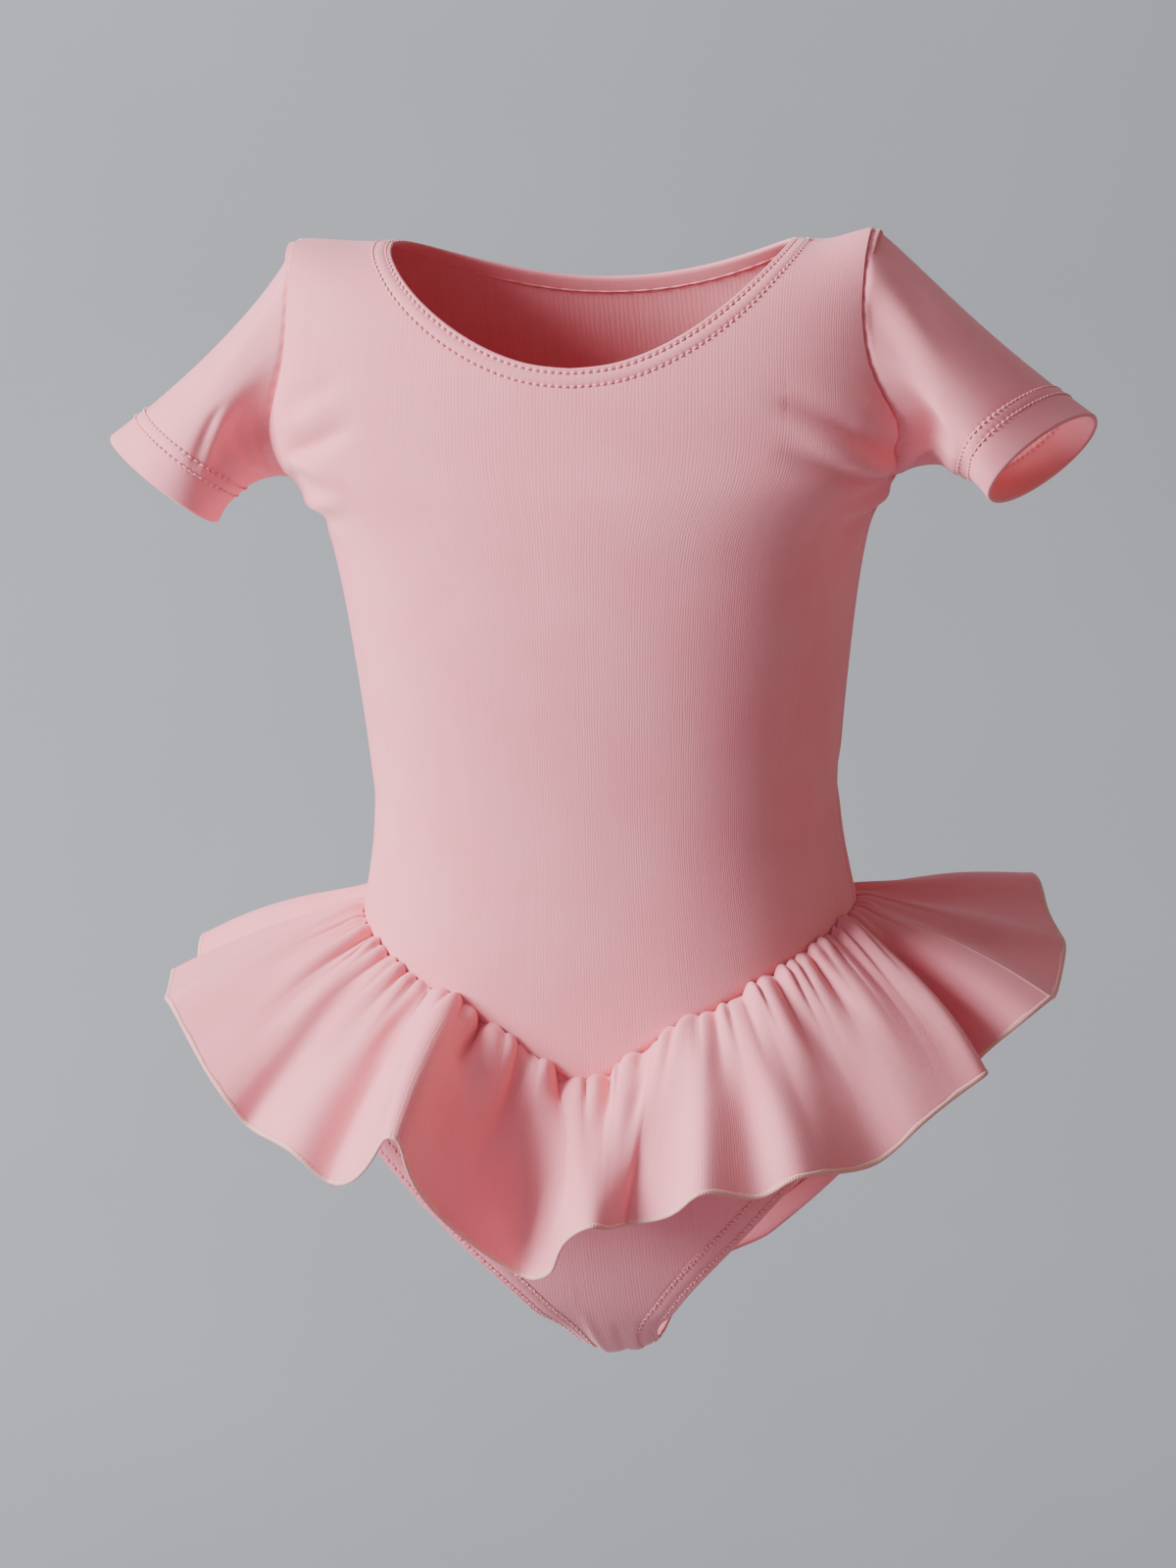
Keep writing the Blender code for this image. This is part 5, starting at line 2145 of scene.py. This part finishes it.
SKIRT_BACK_CREASES = creased(
    (-92, 8, -90, 70, 6, -1.6), (-82, 4, -83, 90, 6, 1.8), (-70, 6, -72, 72, 5, -2.2),
    (-58, 4, -56, 84, 6, 2.2), (-46, 6, -48, 60, 4.6, -1.8), (-33, 5, -32, 80, 5.6, -2.4, 1),
    (-22, 4, -17, 78, 5.6, 2.2), (-10, 6, -8, 52, 4, -2), (3, 5, 0, 86, 5, -2.4),
    (14, 3, 15, 84, 6, 2.4), (27, 6, 28, 66, 4.6, -2.2), (38, 4, 35, 80, 5.2, -2),
    (47, 5, 50, 70, 5, 2), (59, 5, 60, 54, 4.2, -1.6), (67, 3, 66, 82, 5, 2),
    (77, 6, 76, 70, 4.6, -2.2), (88, 5, 87, 80, 5.4, 1.6),
)
SKIRT_FRONT_HEM = (
    (-1, -176, -9, -291), (-0.93, -172, -38, -294), (-0.86, -165, -60, -292),
    (-0.7, -148, -82, -310), (-0.56, -136, -89, -324), (-0.5, -127, -90, -333),
    (-0.43, -109, -110, -335), (-0.37, -94, -111, -347), (-0.34, -78, -127, -339),
    (-0.315, -67, -142, -324), (-0.3, -63, -146, -319), (-0.285, -60, -146, -322),
    (-0.26, -57, -141, -336), (-0.215, -48, -131, -354), (-0.16, -35, -120, -370),
    (-0.11, -21, -112, -382), (-0.085, -12, -119, -381), (-0.065, -4, -133, -373),
    (-0.045, 2, -145, -360), (0, 12, -152, -351), (0.08, 18, -148, -352),
    (0.16, 22, -138, -354), (0.2, 26, -132, -355), (0.235, 43, -134, -350),
    (0.265, 55, -137, -341), (0.315, 72, -125, -346), (0.355, 85, -124, -340),
    (0.4, 97, -115, -339), (0.51, 114, -94, -341), (0.64, 130, -85, -329),
    (0.79, 147, -68, -318), (0.86, 153, -56, -315), (0.905, 147, -31, -318),
    (0.95, 163, -31, -303), (1, 175, -15, -296),
)
SKIRT_BACK_HEM = (
    (-1, -176, -9, -291), (-0.91, -173, 21, -299), (-0.83, -174, 41, -289),
    (-0.74, -162, 60, -304), (-0.66, -148, 75, -315), (-0.57, -137, 99, -304),
    (-0.49, -122, 117, -298), (-0.4, -101, 123, -316), (-0.31, -82, 125, -332),
    (-0.23, -64, 139, -326), (-0.16, -46, 149, -317), (-0.09, -30, 149, -331),
    (-0.02, -9, 142, -352), (0.06, 17, 146, -343), (0.13, 36, 150, -321), (0.2, 53, 147, -313),
    (0.27, 71, 137, -323), (0.34, 87, 123, -331), (0.41, 102, 120, -321), (0.48, 119, 115, -302),
    (0.55, 138, 104, -288), (0.61, 154, 88, -273), (0.66, 162, 78, -272), (0.74, 166, 68, -281),
    (0.8, 173, 49, -287), (0.86, 176, 33, -290), (0.94, 175, 10, -299), (1, 175, -15, -296),
)


@dataclass
class Leotard:
    """The whole garment, built piece by piece."""

    def build(self) -> list[Piece]:
        """Makes every piece.

        Returns:
            The sewn pieces, in the order that they are put together.
        """
        cut, wardrobe = Cut(Figure()), Wardrobe()
        pieces: list[Piece] = []
        bodices = {Side.FRONT: BODICE_FRONT_CREASES, Side.BACK: BODICE_BACK_CREASES}
        briefs = {Side.FRONT: BRIEF_FRONT_CREASES, Side.BACK: BRIEF_BACK_CREASES}
        brief_cuts = {Side.FRONT: ((0.235, 0.16), 0.0240), Side.BACK: ((0.240, 0.19), 0.0312)}
        neck_cuts = {Side.FRONT: (0.230, 0.010), Side.BACK: (0.195, 0.010)}
        for side in Side:
            pieces.append(Bodice(cut, wardrobe, side=side, creases=bodices[side]).build())
            flat, area = brief_cuts[side]
            pieces.append(
                Brief(cut, wardrobe, side=side, creases=briefs[side], flat=flat, area=area).build()
            )
            pieces += NeckEdge(cut, wardrobe, side=side, flat=neck_cuts[side]).build()
        pieces += Skirt(cut, wardrobe, side=Side.FRONT, hem=SKIRT_FRONT_HEM,
                        creases=SKIRT_FRONT_CREASES).build()
        pieces += Skirt(cut, wardrobe, side=Side.BACK, hem=SKIRT_BACK_HEM,
                        creases=SKIRT_BACK_CREASES, seed=11).build()
        pieces += Sleeve(cut, wardrobe, creases=SLEEVE_LEFT_CREASES, bodice=bodices).build()
        pieces += Sleeve(
            cut, wardrobe, hand=Hand.RIGHT, hem=(189.5, -74.2, 148.0, -105.8, 15.0),
            half_depth=33.0 * MM, turned=13.0, leave_slope=(-66.0, 30.0),
            reach_slope=(-35.0, -68.0), leave_pull=(88.0 * MM, 34.0 * MM),
            reach_pull=(66.0 * MM, 40.0 * MM), creases=SLEEVE_RIGHT_CREASES, bodice=bodices,
        ).build()
        tape = SeamTape(cut, wardrobe, bodice=bodices)
        pieces.append(tape.waist())
        for hand in Hand:
            pieces += LegEdge(cut, wardrobe, hand=hand).build()
            pieces += [tape.armhole(hand), tape.side_seam(hand), tape.shoulder(hand)]
        return pieces


@dataclass
class Studio:
    """A grey floor that sweeps up behind, soft lights, and the camera."""

    floor: float = -0.70
    wide: float = 3.0
    near: float = -1.9
    far: float = 0.85
    bend: float = 0.55
    high: float = 2.2
    bend_places: int = 25
    paper: tuple[Row, ...] = ((0.270, 0.265, 0.284, 1), (0.300, 0.294, 0.313, 1))
    paper_scale: Row = (7, 7, 7)
    sky: Row = (0.82, 0.88, 0.96, 1)
    sky_strength: float = 0.12
    lamps: tuple[tuple, ...] = (
        ("window", (-2.20, -1.18, 0.92), 1.3, 214.0, (0.91, 0.96, 1.0)),
        ("fill", (-0.7, -2.6, 0.4), 1.6, 7.0, (0.74, 0.95, 1.0)),
        ("room", (1.9, -0.2, 0.0), 1.2, 5.0, (1.0, 0.66, 0.42)),
        ("ceiling", (-0.5, -0.2, 1.6), 1.2, 8.0, (0.90, 0.95, 1.0)),
    )
    aim: tuple[float, float, float] = (0.0, 0.0, -0.222)
    azimuth: float = 9.5
    elevation: float = 13.0
    roll: float = 1.7
    distance: float = 2.6
    pixels_long: float = 6753.0
    picture: tuple[int, int] = (1200, 1600)
    aim_pixel: Pair = (620.0, 818.0)
    sensor: float = 36.0
    clip: Pair = (0.05, 20.0)

    def sweep(self) -> None:
        """Makes the floor and backdrop as one curved sheet that shows only from its front."""
        arc = np.linspace(0, QUARTER_TURN, self.bend_places)
        y = np.concatenate(([self.near], self.far - self.bend + self.bend * np.sin(arc), [self.far]))
        z = np.concatenate(([0], self.bend * (1 - np.cos(arc)), [self.high])) + self.floor
        points = [(x, a, b) for a, b in zip(y, z) for x in (-self.wide, self.wide)]
        faces = [(2 * i, 2 * i + 1, 2 * i + 3, 2 * i + 2) for i in range(len(y) - 1)]
        mesh = bpy.data.meshes.new("backdrop")
        mesh.from_pydata(points, [], faces)
        mesh.shade_smooth()
        material, desk, shader = new_material("backdrop_paper")
        place = desk.add("ShaderNodeTexCoord").outputs["Object"]
        fibre = desk.noise(desk.stretch(place, *self.paper_scale), 4.0)
        colour = desk.mix(fibre, *self.paper)
        desk.feed(shader.inputs["Base Color"], colour)
        shader.inputs["Roughness"].default_value = 0.9
        behind = desk.add("ShaderNodeNewGeometry").outputs["Backfacing"]
        clear, both = desk.add("ShaderNodeBsdfTransparent"), desk.add("ShaderNodeMixShader")
        for socket, value in zip(both.inputs, (behind, shader.outputs[0], clear.outputs[0])):
            desk.feed(socket, value)
        desk.feed(material.node_tree.nodes["Material Output"].inputs[0], both.outputs[0])
        mesh.materials.append(material)
        into_scene("backdrop", mesh)

    def light(self, name: str, place: tuple, size: float, power: float, colour: tuple) -> None:
        """Adds a square soft light that faces the garment.

        Args:
            name: the lamp's name.
            place: where it stands.
            size: its side, in metres.
            power: in watts.
            colour: red, green and blue.
        """
        data = bpy.data.lights.new(name, "AREA")
        data.size, data.energy, data.color = size, power, colour
        lamp = into_scene(name, data)
        lamp.location = place
        lamp.rotation_euler = (Vector(self.aim) - Vector(place)).to_track_quat("-Z", "Y").to_euler()

    def lights(self) -> None:
        """Adds the window, a weak fill, warm light from the right and what the room gives back."""
        for lamp in self.lamps:
            self.light(*lamp)
        world = bpy.context.scene.world or bpy.data.worlds.new("room")
        bpy.context.scene.world = world
        world.use_nodes = True
        shade = world.node_tree.nodes["Background"]
        shade.inputs[0].default_value = self.sky
        shade.inputs[1].default_value = self.sky_strength

    def camera(self) -> None:
        """Places the camera where the photograph was taken from."""
        a, e, r = (math.radians(v) for v in (self.azimuth, self.elevation, self.roll))
        back = Vector((math.sin(a) * math.cos(e), -math.cos(a) * math.cos(e), math.sin(e)))
        level = Vector((math.cos(a), math.sin(a), 0.0))
        rise = back.cross(level)
        right = math.cos(r) * level - math.sin(r) * rise
        up = math.sin(r) * level + math.cos(r) * rise
        wide, high = self.picture
        off_right = (self.aim_pixel[0] - wide / 2) * self.distance / self.pixels_long
        off_down = (self.aim_pixel[1] - high / 2) * self.distance / self.pixels_long
        data = bpy.data.cameras.new("camera")
        data.sensor_width = self.sensor
        data.lens = self.pixels_long / high * data.sensor_width
        data.clip_start, data.clip_end = self.clip
        camera = into_scene("camera", data)
        turn = Matrix((right, up, back)).transposed().to_4x4()
        place = Vector(self.aim) + back * self.distance - right * off_right + up * off_down
        camera.matrix_world = Matrix.Translation(place) @ turn
        bpy.context.scene.camera = camera

    def build(self) -> None:
        """Sets the whole studio."""
        self.sweep()
        self.lights()
        self.camera()


def main() -> None:
    """Builds the garment and the studio, and notes the size of each piece."""
    logging.basicConfig(level=logging.INFO, format="%(name)s %(message)s")
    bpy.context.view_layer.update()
    pieces = Leotard().build()
    log.info("%d pieces", len(pieces))
    Studio().build()


if __name__ == "__main__":
    main()
